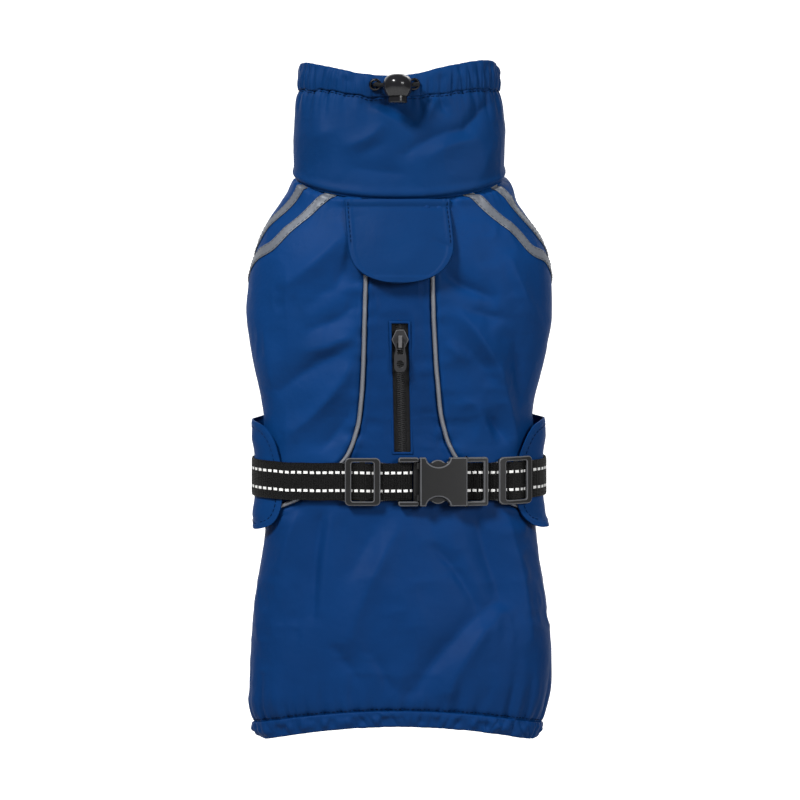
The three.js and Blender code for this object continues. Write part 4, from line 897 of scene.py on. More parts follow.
@dataclass
class LeashFlap:
    """The flap over the leash opening, sewn in under the collar and free at its round end."""

    thick: float = 1.8
    columns: int = 72
    rows: int = 64
    end: float = -56.6
    stitch_in: float = 2.3
    edges: tuple[tuple[float, float, float], ...] = (
        (-0.3, -35.2, 33.1), (-5.3, -35.2, 33.6), (-14, -34.7, 34.5), (-23, -34.0, 35.3), (-30.5, -33.5, 35.9),
        (-37.7, -32.4, 34.9), (-44.3, -29.7, 31.6), (-49, -25.4, 27.2), (-52.6, -19.4, 20.6),
        (-55, -11.6, 12.0), (-56.1, -4.0, 4.0), (-56.6, -0.4, 0.4),
    )
    creases: tuple[Crease, ...] = (
        Crease(24, -28, 37, -33, -0.9, 2.2, 1), Crease(-37, -16, -24, -11, -0.5, 3), Crease(-8, -44, 10, -40, 0.6, 9),
    )

    def raised(self, x: Array, z: Array, inside: Array) -> tuple[Array, Array, Array, Array]:
        """Return the body's points under the flap, the way out, how far it stands off and its thickness."""
        ring = FORM.ring(z)
        angle = np.degrees(np.arcsin(x / np.where(x < 0, ring["left"], ring["right"])))
        at = np.minimum(z - ring["tilt"] * (1 - np.cos(np.radians(angle))), -0.3)
        base = FORM.body_base(angle, at)
        sewn = np.exp(-(((inside - self.stitch_in) / 0.7) ** 2)) * smooth(z, -36, -28)
        edge = 0.5 * smooth(5.0 - inside, 0, 1.2) - 0.5 * sewn
        tuck = -1.3 * np.exp(-(((z + 5.3) / 0.9) ** 2)) + 0.7 * np.exp(-(((z + 2.4) / 1.8) ** 2))
        surface = self.thick + edge + tuck + crease_height(self.creases, x, z)
        surface = surface + 0.4 * lattice_noise(base, 12.0, 71) * smooth(-z, 6, 20)
        stand = 0.5 + 0.6 * smooth(-z, 2, 70) + np.maximum(-z - 6, 0) * 0.108
        return base, FORM.body_way(angle, at), stand, surface

    def build(self) -> bpy.types.Object:
        """Return the flap with its tuck stitch, its turned edge and its small creases."""
        down = np.sin(np.linspace(0, math.pi / 2, self.rows + 1))
        z = (-0.3 + (self.end + 0.3) * down)[:, None]
        left = along([(row[0], row[1]) for row in self.edges], z)
        right = along([(row[0], row[2]) for row in self.edges], z)
        share = (0.5 - 0.5 * np.cos(np.linspace(0, math.pi, self.columns + 1)))[None, :]
        x = left + (right - left) * share
        z = z + 0 * x
        inside = np.minimum.reduce([x - left, right - x, (z - self.end) * 0.9])
        base, way, stand, surface = self.raised(x, z, inside)
        rounding = 1 - (1 - np.clip(inside / 1.1, 0, 1)) ** 2
        outer = base + way * (stand + surface * (0.35 + 0.65 * rounding))[..., None]
        inner = base + way * (stand + 0.3 * (1 - rounding))[..., None]
        uv = np.stack([x * MM, z * MM], axis=-1)
        return wall_mesh("leash_flap_cloth", outer, inner, uv)

    def seam(self, side: int) -> Array:
        """Return the line of the topstitching along one side."""
        z = np.linspace(-2, -32, 40)
        edge = along([(row[0], row[1 if side < 0 else 2]) for row in self.edges], z)
        inside = np.full(z.shape, self.stitch_in)
        base, way, stand, surface = self.raised(edge - side * inside, z, inside)
        return base + way * (stand + surface + 0.1)[..., None]


# Trims on the cloth


def from_collar(path: Array) -> Array:
    """Return a path cut to start on the collar's seam, with as many points as before."""
    first = np.interp(0.15, -path[:16, 1], np.arange(16))
    spots = np.linspace(first, len(path) - 1, len(path))
    return np.stack([np.interp(spots, np.arange(len(path)), path[:, k]) for k in range(2)], axis=-1)


def sweep(path: Array, section: Sequence[tuple[float, float]], name: str,
          panel: Panel | None = None) -> bpy.types.Object:
    """Sweep a section along a path on the cloth, with closed ends.

    Args:
        path: the middle line, as places on the body.
        section: sideways shifts and heights, once round.
        name: the piece's name.
        panel: the panel below, for a band that starts at the collar and follows its relief.

    Returns:
        The new object.
    """
    columns = []
    for shift, height in section:
        side = beside(path, shift)
        if panel is not None:
            side = from_collar(side)
            height = height + panel.relief(FORM.body_base(side[:, 0], side[:, 1]))
        columns.append(FORM.cloth(side[:, 0], side[:, 1], height))
    points = np.stack(columns, axis=1)
    count, wide = points.shape[:2]
    ids = np.arange(count * wide).reshape(count, wide)
    faces = [
        [int(ids[i, k]), int(ids[i + 1, k]), int(ids[i + 1, (k + 1) % wide]), int(ids[i, (k + 1) % wide])]
        for i in range(count - 1)
        for k in range(wide)
    ]
    faces.append([int(i) for i in ids[0]])
    faces.append([int(i) for i in ids[-1][::-1]])
    run = np.concatenate([[0], np.cumsum(np.linalg.norm(np.diff(points[:, 0], axis=0), axis=1))])
    around = np.array([shift for shift, _ in section])
    uv = np.stack(np.broadcast_arrays(run[:, None] * MM, around[None, :] * MM), axis=-1)
    piece = make_piece(name, points.reshape(-1, 3), faces, uv.reshape(-1, 2))
    piece.data.set_sharp_from_angle(angle=math.radians(70))
    return piece


@dataclass
class Piping:
    """The grey reflective piping in the seams of the back."""

    radius: float = 1.4
    height: float = 1.7
    top: float = -25.0
    end: float = 66.0

    def build(self, side: int) -> bpy.types.Object:
        """Return the piping of one side: its bead and the narrow flange it is sewn by."""
        path = dense(yoke_seam(side), 10)
        path = path[(path[:, 1] < self.top) & (np.abs(path[:, 0]) < self.end)]
        turns = np.linspace(0, math.pi, 9)
        bead = [(-self.radius * math.cos(t), self.height * (0.15 + 0.85 * math.sin(t))) for t in turns]
        name = "piping_bead_left" if side < 0 else "piping_bead_right"
        return sweep(path, [*bead, (self.radius * 0.6, -1.9), (-self.radius * 0.6, -1.9)], name)


@dataclass
class ReflectiveTapes:
    """Four tapes that cross the shoulders, with their edges sewn down."""

    width: float = 6.8
    thick: float = 0.45
    step: float = 1.4
    routes: dict[str, tuple[tuple[str, float, float], ...]] = field(default_factory=lambda: {
        "left_lower": (
            ("plan", -48.7, 2.4), ("plan", -54, -1.7), ("plan", -64, -11), ("plan", -74, -19.6),
            ("plan", -84.7, -30.5), ("turn", -78, -46), ("turn", -92, -57), ("turn", -104, -66),
        ),
        "left_upper": (
            ("turn", -67, -1.8), ("turn", -71.5, -11.5), ("turn", -76.5, -21.5), ("turn", -82.5, -31),
            ("turn", -90, -39.5), ("turn", -100, -47.5), ("turn", -110, -54.5), ("turn", -114.5, -57.5),
        ),
        "right_lower": (
            ("plan", 49.5, 2.6), ("plan", 58.7, -4.8), ("plan", 70, -14.3), ("plan", 80, -22.6),
            ("plan", 89, -33), ("turn", 77, -46), ("turn", 92, -57), ("turn", 104, -66),
        ),
        "right_upper": (
            ("turn", 67, -1.8), ("turn", 71.5, -11.5), ("turn", 76.5, -21.5), ("turn", 82.5, -31),
            ("turn", 90, -39.5), ("turn", 100, -47.5), ("turn", 110, -54.5), ("turn", 114.5, -57.5),
        ),
    })

    def path(self, route: str) -> Array:
        """Return the middle line of one tape as places on the body, from above the collar's seam."""
        places = [FORM.place_at(a, b) if kind == "plan" else (a, b) for kind, a, b in self.routes[route]]
        path = resample(places, int(110 / self.step))
        return np.concatenate([path[0] + (path[0] - path[3]) * np.linspace(2.4, 0, 8)[:-1, None], path])

    @staticmethod
    def panel(route: str) -> Panel:
        """Return the side panel that a tape is sewn to."""
        return Shell().side(-1 if route.startswith("left") else 1)

    def build(self, route: str) -> bpy.types.Object:
        """Return one tape."""
        half = self.width / 2
        top = self.thick + 0.5
        across = [(s, top + (0.0 if abs(s) < half * 0.8 else -0.12)) for s in np.linspace(-half, half, 11)]
        return sweep(self.path(route), [*across, (half, 0.4), (0.0, 0.4), (-half, 0.4)], f"reflective_{route}",
                     self.panel(route))


@dataclass
class Stitches:
    """Rows of navy thread, each stitch a short spindle that lies half in the cloth."""

    pitch: float = 3.4
    length: float = 2.5
    radius: float = 0.27
    inset: float = 4.6

    def build(self, name: str, lines: Sequence[Array]) -> bpy.types.Object:
        """Return one piece with a row of stitches along each line of points."""
        points, faces = [], []
        turns = np.linspace(0, 2 * math.pi, 6, endpoint=False)[:, None]
        ids = np.arange(6)
        for line in lines:
            run = np.concatenate([[0], np.cumsum(np.linalg.norm(np.diff(line, axis=0), axis=1))])
            for start in np.arange(0.4, run[-1] - self.length, self.pitch):
                spots = start + self.length * np.array([0.0, 0.2, 0.8, 1.0])
                middle = np.stack([np.interp(spots, run, line[:, k]) for k in range(3)], axis=-1)
                way = middle[-1] - middle[0]
                side = np.cross(way, (0.31, 0.17, 0.93))
                side /= np.linalg.norm(side)
                over = np.cross(side, way / np.linalg.norm(way))
                ring = np.cos(turns) * side + np.sin(turns) * over
                first = len(points)
                for spot, wide in zip(middle, (0.35, 1.0, 1.0, 0.35)):
                    points.extend(spot + self.radius * wide * ring)
                for level in range(3):
                    a, b = first + 6 * level + ids, first + 6 * level + (ids + 1) % 6
                    faces.extend([int(v) for v in quad] for quad in zip(a, a + 6, b + 6, b))
                faces += [[int(first + v) for v in ids], [int(first + 18 + v) for v in ids[::-1]]]
        return make_piece(name, np.array(points), faces)

    @staticmethod
    def on_wing(path: Array) -> Array:
        """Return points on the belly panel's outer face."""
        rise = Shell.wing_corner(path[:, 0], path[:, 1])
        return FORM.cloth(path[:, 0], path[:, 1] + rise, FORM.wing_lift(path[:, 0], path[:, 1]) + 0.15)

    def belly(self) -> list[Array]:
        """Return the rows along the free edges of the belly panel and its wings."""
        start = dense([(angle, at) for at, angle in BELLY_EDGE], 8)
        start = beside(start[start[:, 1] < -44], self.inset)
        start = start[start[:, 1] > -216]
        end = np.stack([360 - start[:, 0], start[:, 1]], axis=-1)
        turn = np.linspace(80, 280, 400)
        low = np.stack([turn, np.full(400, -221.5 + self.inset)], axis=-1)
        return [self.on_wing(path) for path in (start, end, low)]

    def hems(self) -> list[Array]:
        """Return the rows over the hem's elastic and under the collar's casing."""
        turn = np.linspace(-Hem.edge + 1, Hem.edge - 1, 500)
        ring = np.linspace(-180, 180, 500)
        return [FORM.cloth(turn, np.full(500, HEM_SEAM + 1.1), 0.1), FORM.collar_cloth(ring, np.full(500, 0.978), 0.75)]

    @staticmethod
    def tapes() -> list[Array]:
        """Return the two rows that hold each reflective tape down."""
        tapes = ReflectiveTapes()
        rows = []
        for route in tapes.routes:
            for shift in (-2.6, 2.6):
                side = from_collar(beside(tapes.path(route), shift))
                relief = tapes.panel(route).relief(FORM.body_base(side[:, 0], side[:, 1]))
                rows.append(FORM.cloth(side[:, 0], side[:, 1], relief + tapes.thick + 0.5))
        return rows


# Belt space: angle from the middle of the back, height above the belt's middle line, height off the body


class BeltSpace:
    """Turns distances along, across and off the belt into points of the coat."""

    def __init__(self) -> None:
        """Keep the ring that the belt runs on."""
        self.ring = FORM.ring(np.array(BELT_Z))

    def point(self, angle: Array, up: Array, height: Array) -> Array:
        """Return points in millimetres."""
        angle, up, height = np.broadcast_arrays(unwrap(angle), up, height)
        x, y = FORM.ring_xy(self.ring, angle)
        next_x, next_y = FORM.ring_xy(self.ring, angle + 0.25)
        last_x, last_y = FORM.ring_xy(self.ring, angle - 0.25)
        way = np.stack([next_y - last_y, last_x - next_x], axis=-1)
        way /= np.linalg.norm(way, axis=-1, keepdims=True)
        z = BELT_Z + BELT_RISE * FORM.belt_share(angle) + up
        return np.stack([x + way[..., 0] * height, y + way[..., 1] * height, z], axis=-1)

    def base(self, angle: Array) -> Array:
        """Return the height of the belt's inner face off the body."""
        turned = unwrap(angle)
        away = np.abs(turned)
        back = 2.2 + 1.5 * smooth(away, 36, 52)
        lift = FORM.wing_lift(turned, BELT_Z + BELT_RISE * FORM.belt_share(turned)) + 0.55
        return np.where(away < 54, back, np.maximum(back, lift))

    def angle_at(self, x: Array | float) -> Array:
        """Return the angle of a distance from the middle of the back."""
        return np.degrees(np.arcsin(np.asarray(x, float) / float(self.ring["right"])))

    def per_degree(self, middle: float) -> float:
        """Return the distance round the belt for one degree at an angle."""
        ends = self.point(np.array([middle + 0.5, middle - 0.5]), 0.0, 2.0)
        return float(np.linalg.norm(ends[0] - ends[1]))


BELT = BeltSpace()


class Bench:
    """Models hard pieces flat with Blender's own tools: X along the belt, Z across it, -Y off it."""

    @staticmethod
    def activate(piece: bpy.types.Object) -> None:
        """Make a piece the only selected one."""
        bpy.ops.object.select_all(action="DESELECT")
        piece.select_set(True)
        bpy.context.view_layer.objects.active = piece

    @classmethod
    def block(cls, name: str, along_belt: Place, across: Place, off: Place) -> bpy.types.Object:
        """Return a box between two distances along, across and off the belt, in millimetres."""
        bpy.ops.object.select_all(action="DESELECT")
        bpy.ops.mesh.primitive_cube_add(size=1.0)
        piece = bpy.context.object
        piece.name = name
        lows = np.array([along_belt[0], -off[1], across[0]])
        highs = np.array([along_belt[1], -off[0], across[1]])
        for vertex in piece.data.vertices:
            share = np.array(vertex.co) + 0.5
            vertex.co = Vector(lows + (highs - lows) * share)
        return piece

    @classmethod
    def drum(cls, name: str, centre: Place, radii: Place, off: Place) -> bpy.types.Object:
        """Return an upright oval drum in the same space."""
        bpy.ops.object.select_all(action="DESELECT")
        bpy.ops.mesh.primitive_cylinder_add(vertices=48, radius=1.0, depth=1.0, rotation=(math.pi / 2, 0, 0))
        piece = bpy.context.object
        piece.name = name
        bpy.ops.object.transform_apply(location=False, rotation=True, scale=False)
        middle, deep = -(off[0] + off[1]) / 2, off[1] - off[0]
        for vertex in piece.data.vertices:
            x, y, z = vertex.co
            vertex.co = Vector((centre[0] + x * radii[0], middle + y * deep, centre[1] + z * radii[1]))
        return piece

    @classmethod
    def combine(cls, piece: bpy.types.Object, other: bpy.types.Object, how: str) -> None:
        """Cut one piece with another or join them, and use the other one up."""
        cls.activate(piece)
        modifier = piece.modifiers.new("Combine", "BOOLEAN")
        modifier.operation = how
        modifier.solver = "EXACT"
        modifier.object = other
        bpy.ops.object.modifier_apply(modifier=modifier.name)
        bpy.data.objects.remove(other, do_unlink=True)

    @classmethod
    def soften(cls, piece: bpy.types.Object, width: float, segments: int = 3, limit: float = 40.0,
               mottle_and_painted_highlight: bool = False) -> None:
        """Round the edges of a piece, and may give the bevels its second finish: a lighter grey that paints a highlight
        along them.
        """
        cls.activate(piece)
        while mottle_and_painted_highlight and len(piece.data.materials) < 2:
            piece.data.materials.append(None)
        modifier = piece.modifiers.new("Soften", "BEVEL")
        modifier.width = width
        modifier.segments = segments
        modifier.limit_method = "ANGLE"
        modifier.angle_limit = math.radians(limit)
        modifier.use_clamp_overlap = not mottle_and_painted_highlight
        # The bevel faces take the second finish, a lighter grey painted as highlight along the edges.
        modifier.material = 1 if mottle_and_painted_highlight else -1
        bpy.ops.object.modifier_apply(modifier=modifier.name)

    @classmethod
    def worked(cls, name: str, data: tuple[Sequence, Sequence, Sequence],
               *steps: Callable[[], object]) -> bpy.types.Object:
        """Make a flat-space piece and work on all of it in edit mode.

        Args:
            name: the piece's name.
            data: its points, edges and faces.
            steps: calls to run in edit mode, each with everything selected.

        Returns:
            The new object, with its faces turned outwards.
        """
        mesh = bpy.data.meshes.new(name)
        mesh.from_pydata(*data)
        mesh.update()
        piece = bpy.data.objects.new(name, mesh)
        bpy.context.scene.collection.objects.link(piece)
        cls.activate(piece)
        bpy.ops.object.mode_set(mode="EDIT")
        for step in (*steps, lambda: bpy.ops.mesh.normals_make_consistent(inside=False)):
            bpy.ops.mesh.select_all(action="SELECT")
            step()
        bpy.ops.object.mode_set(mode="OBJECT")
        return piece

    @classmethod
    def round_corners(cls, piece: bpy.types.Object, radius: float) -> None:
        """Round the four edges of a block that run off the belt."""
        cls.activate(piece)
        bpy.ops.object.mode_set(mode="EDIT")
        bpy.ops.mesh.select_mode(type="EDGE")
        bpy.ops.mesh.select_all(action="DESELECT")
        bpy.ops.object.mode_set(mode="OBJECT")
        for edge in piece.data.edges:
            ends = [piece.data.vertices[i].co for i in edge.vertices]
            edge.select = abs(ends[0].y - ends[1].y) > 0.5
        bpy.ops.object.mode_set(mode="EDIT")
        bpy.ops.mesh.bevel(offset=radius, segments=6, affect="EDGES")
        bpy.ops.object.mode_set(mode="OBJECT")

    @classmethod
    def slice_up(cls, piece: bpy.types.Object, axis: int, step: float) -> None:
        """Cut a piece across one axis at even steps, so that it can follow a curve."""
        cls.activate(piece)
        spots = [vertex.co[axis] for vertex in piece.data.vertices]
        normal = [0.0, 0.0, 0.0]
        normal[axis] = 1.0
        bpy.ops.object.mode_set(mode="EDIT")
        for spot in np.arange(min(spots) + step, max(spots) - step * 0.5, step):
            place = [0.0, 0.0, 0.0]
            place[axis] = float(spot)
            bpy.ops.mesh.select_all(action="SELECT")
            bpy.ops.mesh.bisect(plane_co=place, plane_no=normal)
        bpy.ops.object.mode_set(mode="OBJECT")

    @staticmethod
    def place(piece: bpy.types.Object, mapping: Callable[[Array], Array]) -> None:
        """Move every vertex from millimetres in the flat space to its place in the coat, in metres."""
        flat = np.empty(len(piece.data.vertices) * 3)
        piece.data.vertices.foreach_get("co", flat)
        points = mapping(flat.reshape(-1, 3)) * MM
        piece.data.vertices.foreach_set("co", points.ravel())
        piece.data.shade_smooth()
        piece.data.set_sharp_from_angle(angle=math.radians(50))
        piece.data.update()
        Bench.activate(piece)
        modifier = piece.modifiers.new("Flat_faces", "WEIGHTED_NORMAL")
        modifier.keep_sharp = True
        bpy.ops.object.modifier_apply(modifier=modifier.name)


def on_belt(middle: float) -> Callable[[Array], Array]:
    """Return the mapping of a flat piece that lies on the belt around an angle."""
    unit = BELT.per_degree(middle)

    def mapping(flat: Array) -> Array:
        """Turn distances along, off and across into points."""
        angle = middle + flat[:, 0] / unit
        return BELT.point(angle, flat[:, 2], BELT.base(angle) - flat[:, 1])

    return mapping


def at_buckle(flat: Array) -> Array:
    """Turn a flat buckle's distances from the middle of the back into points."""
    return BELT.point(BELT.angle_at(flat[:, 0]), flat[:, 2], -flat[:, 1])


@dataclass
class Slide:
    """A three-bar slide that sets the belt's length."""

    length: float = 23.5
    height: float = 31.9
    window: float = 26.0
    bar: float = 4.4
    middle_bar: float = 3.0
    top: float = 3.7
    over_web: float = 1.7
    corner: float = 3.2

    def build(self, name: str, middle: float) -> bpy.types.Object:
        """Return one slide, bent to the belt."""
        half, up = self.length / 2, self.height / 2
        piece = Bench.block(name, (-half, half), (-up, up), (0.3, self.top))
        Bench.round_corners(piece, self.corner)
        inside = half - self.bar
        hole = Bench.block("hole", (-inside, inside), (-self.window / 2, self.window / 2), (-1, 6))
        Bench.round_corners(hole, 1.2)
        Bench.combine(piece, hole, "DIFFERENCE")
        under = Bench.block("under", (-half - 1, half + 1), (-self.window / 2, self.window / 2), (-1, self.over_web))
        Bench.combine(piece, under, "DIFFERENCE")
        reach, middle_half = self.window / 2 + 1, self.middle_bar / 2
        centre = Bench.block("centre", (-middle_half, middle_half), (-reach, reach), (0.3, 2.0))
        Bench.combine(piece, centre, "UNION")
        Bench.soften(piece, 0.7, 3, 50, mottle_and_painted_highlight=True)
        Bench.slice_up(piece, 0, 2.0)
        Bench.place(piece, on_belt(middle))
        return piece


@dataclass
class Buckle:
    """The side-release buckle: a frame with sprung arms that click into a pocket."""

    start: float = -1.0
    joint: float = 13.0
    body_end: float = 43.7
    end: float = 57.7
    height: float = 32.7
    window: float = 26.0
    bar: float = 3.0
    low: float = 2.3
    frame_top: float = 7.4
    top: float = 10.2
    arm_low: float = 4.4
    arm_high: float = 8.2
    arm_end: float = 37.0
    arm: Place = (8.6, 12.6)
    pad_reach: float = 14.7
    pad_half: float = 6.0
    web_bar: Place = (0.5, 3.1)
    pocket: float = 27.4
    cut_x: float = 24.9
    cut_long: float = 15.6
    cut_deep: float = 6.4
    over_web: float = 3.9

    def rails(self, name: str, ends: Place) -> bpy.types.Object:
        """Return the two rails of a frame between its ends along the belt."""
        up, reach = self.height / 2, self.window / 2
        piece = Bench.block(name, ends, (-up, up), (self.low, self.frame_top))
        Bench.round_corners(piece, 1.8)
        Bench.combine(piece, Bench.block("hole", (ends[0] - 1, ends[1] + 1), (-reach, reach), (0, 12)), "DIFFERENCE")
        return piece

    def cross_bar(self, ends: Place, level: Place) -> bpy.types.Object:
        """Return the bar that the webbing turns round, from its ends along the belt and its height off it."""
        return Bench.block("bar", ends, (-self.window / 2 - 1, self.window / 2 + 1), level)

    def male(self) -> bpy.types.Object:
        """Return the half with the arms, whose webbing lies over its bar."""
        up = self.height / 2
        first = (self.start, self.start + self.bar)
        piece = self.rails("buckle_male_half", (self.start, self.joint - 0.3))
        Bench.soften(piece, 0.8, 3, 50, mottle_and_painted_highlight=True)
        bar = self.cross_bar((first[0] + 0.15, first[1]), self.web_bar)
        Bench.soften(bar, 0.5, 3, 50)
        Bench.combine(piece, bar, "UNION")
        cross = Bench.block("cross", (self.joint - 3.7, self.joint - 0.3), (-up + 1, up - 1), (self.low, 4.8))
        Bench.combine(piece, cross, "UNION")
        level = (self.arm_low, self.arm_high)
        for side in (-1, 1):
            edges = sorted((side * self.arm[0], side * self.arm[1]))
            arm = Bench.block("arm", (self.joint - 2, self.arm_end), (edges[0], edges[1]), level)
            Bench.combine(piece, arm, "UNION")
            radii, inside = (self.pad_half, self.pad_reach - self.arm[0]), (level[0] + 0.05, level[1] - 0.05)
            pad = Bench.drum("pad", (self.cut_x, side * self.arm[0]), radii, inside)
            half = sorted((side * (self.arm[0] + 1.3), side * 30))
            Bench.combine(pad, Bench.block("half", (0, 50), (half[0], half[1]), (0, 12)), "INTERSECT")
            Bench.soften(pad, 0.7, 3, 50, mottle_and_painted_highlight=True)
            Bench.combine(piece, pad, "UNION")
        Bench.slice_up(piece, 0, 2.5)
        Bench.place(piece, at_buckle)
        return piece

    def female(self) -> bpy.types.Object:
        """Return the half with the pocket, whose sides are cut away over the arms' pads."""
        up = self.height / 2
        body = Bench.block("buckle_female_half", (self.joint, self.body_end), (-up, up), (self.low, self.top))
        room = Bench.block("pocket", (self.joint - 1, self.arm_end + 1.5), (-self.pocket / 2, self.pocket / 2),
                           (self.arm_low - 0.3, self.arm_high + 0.3))
        Bench.combine(body, room, "DIFFERENCE")
        for side in (-1, 1):
            cut = Bench.drum("cut", (self.cut_x, side * up), (self.cut_long / 2, self.cut_deep), (-1, 14))
            Bench.combine(body, cut, "DIFFERENCE")
        last = (self.end - self.bar, self.end)
        rails = self.rails("rails", (self.body_end - 1, self.end))
        for piece in (rails, self.cross_bar(last, (self.over_web, self.frame_top))):
            Bench.combine(body, piece, "UNION")
        Bench.soften(body, 0.9, 3, 50, mottle_and_painted_highlight=True)
        Bench.slice_up(body, 0, 2.5)
        Bench.place(body, at_buckle)
        return body


@dataclass
class Webbing:
    """The ribbed belt, which climbs over the slides' middle bars and into the buckle."""

    thick: float = 1.4
    rows: int = 27
    columns: int = 620
    slides: tuple[float, ...] = (-15.6, 55.5)
    slide_rise: float = 2.3
    climb: Place = (7.2, 2.2)
    female_rise: float = 1.6
    female_end: float = 44.6
    male_rise: float = 1.3
    male_bar: float = -1.0
    male_end: float = 8.6

    def build(self) -> bpy.types.Object:
        """Return the belt as one band with rounded selvedges."""
        start = float(BELT.angle_at(self.female_end))
        end = 360 + float(BELT.angle_at(self.male_end))
        angle = np.linspace(start, end, self.columns + 1)
        rise = np.zeros(angle.shape)
        for middle in self.slides:
            away = np.abs(unwrap(angle - middle)) * BELT.per_degree(middle)
            rise = np.maximum(rise, self.slide_rise * smooth(-away, -self.climb[0], -self.climb[1]))
        female = self.female_rise * smooth(-angle, -start - 3.0, -start)
        over_bar = 360 + BELT.angle_at(np.array([self.male_bar - 3.0, self.male_bar]))
        male = self.male_rise * smooth(angle, *over_bar) - 1.6 * smooth(angle, end - 0.8, end)
        height = BELT.base(angle) + rise + female + male
        across = np.linspace(-1, 1, self.rows)[:, None]
        up = across * BELT_WIDTH / 2
        wave = 0.25 * line_noise(angle * 1.6, 14.0, 81)
        selvedge = 0.35 * smooth(np.abs(across), 0.9, 1.0)
        outer = BELT.point(angle[None, :], up + wave, height + self.thick - selvedge)
        inner = BELT.point(angle[None, :], up + wave, height + selvedge * 0.5)
        run = np.concatenate([[0], np.cumsum(np.linalg.norm(np.diff(outer[self.rows // 2], axis=0), axis=1))])
        uv = np.stack(np.broadcast_arrays(run[None, :] * MM, up * MM), axis=-1)
        return wall_mesh("belt_band", outer[::-1], inner[::-1], uv[::-1])


# Zip in the back


@dataclass
class BackZip:
    """The zip behind the window: tapes, coil, slider and pull tab."""

    tape_width: float = 12.5
    top: float = -76.5
    bottom: float = -173.9
    top_x: float = 0.6
    bottom_x: float = 2.4
    coil_pitch: float = 1.25
    coil_width: float = 5.2
    slider_x: float = 0.85
    slider_top: float = -87.0
    slider_bottom: float = -100.3
    slider_face: float = 42.4
    slider_back: float = 39.5
    slider_width: float = 10.6
    tab_y: float = 43.65
    tab_thick: float = 1.5
    tab_top: float = -94.4
    tab_bottom: float = -115.0

    def middle(self, z: Array | float) -> Array:
        """Return the zip's middle line at a height."""
        share = (Shell.window_top - np.asarray(z, float)) / (Shell.window_top - Shell.window_bottom)
        return self.top_x + (self.bottom_x - self.top_x) * share

    def on_back(self, x: Array, z: Array, height: Array | float) -> Array:
        """Return points over the back, seen from behind at x and z."""
        x, z = np.broadcast_arrays(x, z)
        ring = FORM.ring(z)
        angle = np.degrees(np.arcsin(x / np.where(x < 0, ring["left"], ring["right"])))
        base = FORM.body_base(angle, z)
        return base + FORM.body_way(angle, z) * np.asarray(height)[..., None]

    def tape(self, side: int) -> bpy.types.Object:
        """Return one woven tape."""
        z = np.linspace(self.top, self.bottom, 121)[:, None]
        shift = np.linspace(0.15, self.tape_width, 13)[None, :]
        x = self.middle(z) + side * shift
        x = x if side > 0 else x[:, ::-1]
        height = -2.1 + 0 * x
        uv = np.stack([x * MM, z * MM + 0 * x], axis=-1)
        outer = self.on_back(x, z, height)
        inner = self.on_back(x, z, height - 0.7)
        return wall_mesh("zip_band_left" if side < 0 else "zip_band_right", outer, inner, uv)

    def coil(self, side: int) -> bpy.types.Object:
        """Return one side's coil, with its turns bent over the tape's edge."""
        count = int((self.top - self.bottom) / self.coil_pitch)
        half = self.coil_width / 2
        route = [(-0.5, -1.7), (-0.5, -1.15), (0.8, -0.95), (half, -1.3), (half, -2.1)]
        ways = np.gradient(np.array(route), axis=0)
        ways /= np.linalg.norm(ways, axis=1, keepdims=True)
        points, faces = [], []
        for turn in range(count):
            z = self.top - (turn + (0.5 if side > 0 else 0.0)) * self.coil_pitch
            for i, ((out, height), way) in enumerate(zip(route, ways)):
                for dz, off in ((0.36, 0.0), (0.0, 0.28), (-0.36, 0.0), (0.0, -0.28)):
                    points.append((self.middle(z) + side * (out - way[1] * off), z + dz, height + way[0] * off))
                if i:
                    base = len(points) - 8
                    for k in range(4):
                        a, b = base + k, base + (k + 1) % 4
                        quad = [a, b, b + 4, a + 4]
                        faces.append(quad if side > 0 else quad[::-1])
            ends = [[len(points) - 20 + k for k in range(4)], [len(points) - 4 + k for k in range(4)][::-1]]
            faces.extend(ends if side < 0 else [end[::-1] for end in ends])
        flat = np.array(points)
        solid = self.on_back(flat[:, 0], flat[:, 1], flat[:, 2])
        return make_piece("zip_coil_left" if side < 0 else "zip_coil_right", solid, faces)

    def window_edge(self) -> bpy.types.Object:
        """Return the narrow raised edge round the window."""
        half, top, bottom = Shell.window_half + 0.5, Shell.window_top + 0.4, Shell.window_bottom - 0.4
        corners = [(-half, top), (-half, bottom), (half, bottom), (half, top)]
        path = []
        for (x0, z0), (x1, z1) in zip(corners, corners[1:] + corners[:1]):
            steps = max(8, int(math.hypot(x1 - x0, z1 - z0) / 1.5))
            for t in np.linspace(0, 1, steps, endpoint=False):
                x, z = x0 + (x1 - x0) * t, z0 + (z1 - z0) * t
                path.append((x, z, x / half, (z - (top + bottom) / 2) / ((top - bottom) / 2)))
        rows = np.array(path)
        section = [(-0.9, -0.3), (-0.8, 0.45), (-0.3, 0.85), (0.3, 0.85), (0.8, 0.45), (0.9, -0.3)]
        edge_x = np.abs(rows[:, 2]) >= 0.999
        edge_z = np.abs(rows[:, 3]) >= 0.999
        out_x = np.where(edge_x, np.sign(rows[:, 2]), 0.0)
        out_z = np.where(edge_z, np.sign(rows[:, 3]), 0.0)
        points = []
        for out, height in section:
            x = rows[:, 0] + out_x * out
            z = rows[:, 1] + out_z * out
            points.append(self.on_back(x + self.middle(z), z, height))
        grid = np.stack(points, axis=1)
        count, wide = grid.shape[:2]
        ids = np.arange(count * wide).reshape(count, wide)
        after, over = np.roll(ids, -1, axis=0), np.roll(ids, -1, axis=1)
        quads = np.stack([ids, over, np.roll(after, -1, axis=1), after], axis=-1)
        return make_piece("zip_window_edge", grid.reshape(-1, 3), quads.reshape(-1, 4).tolist())

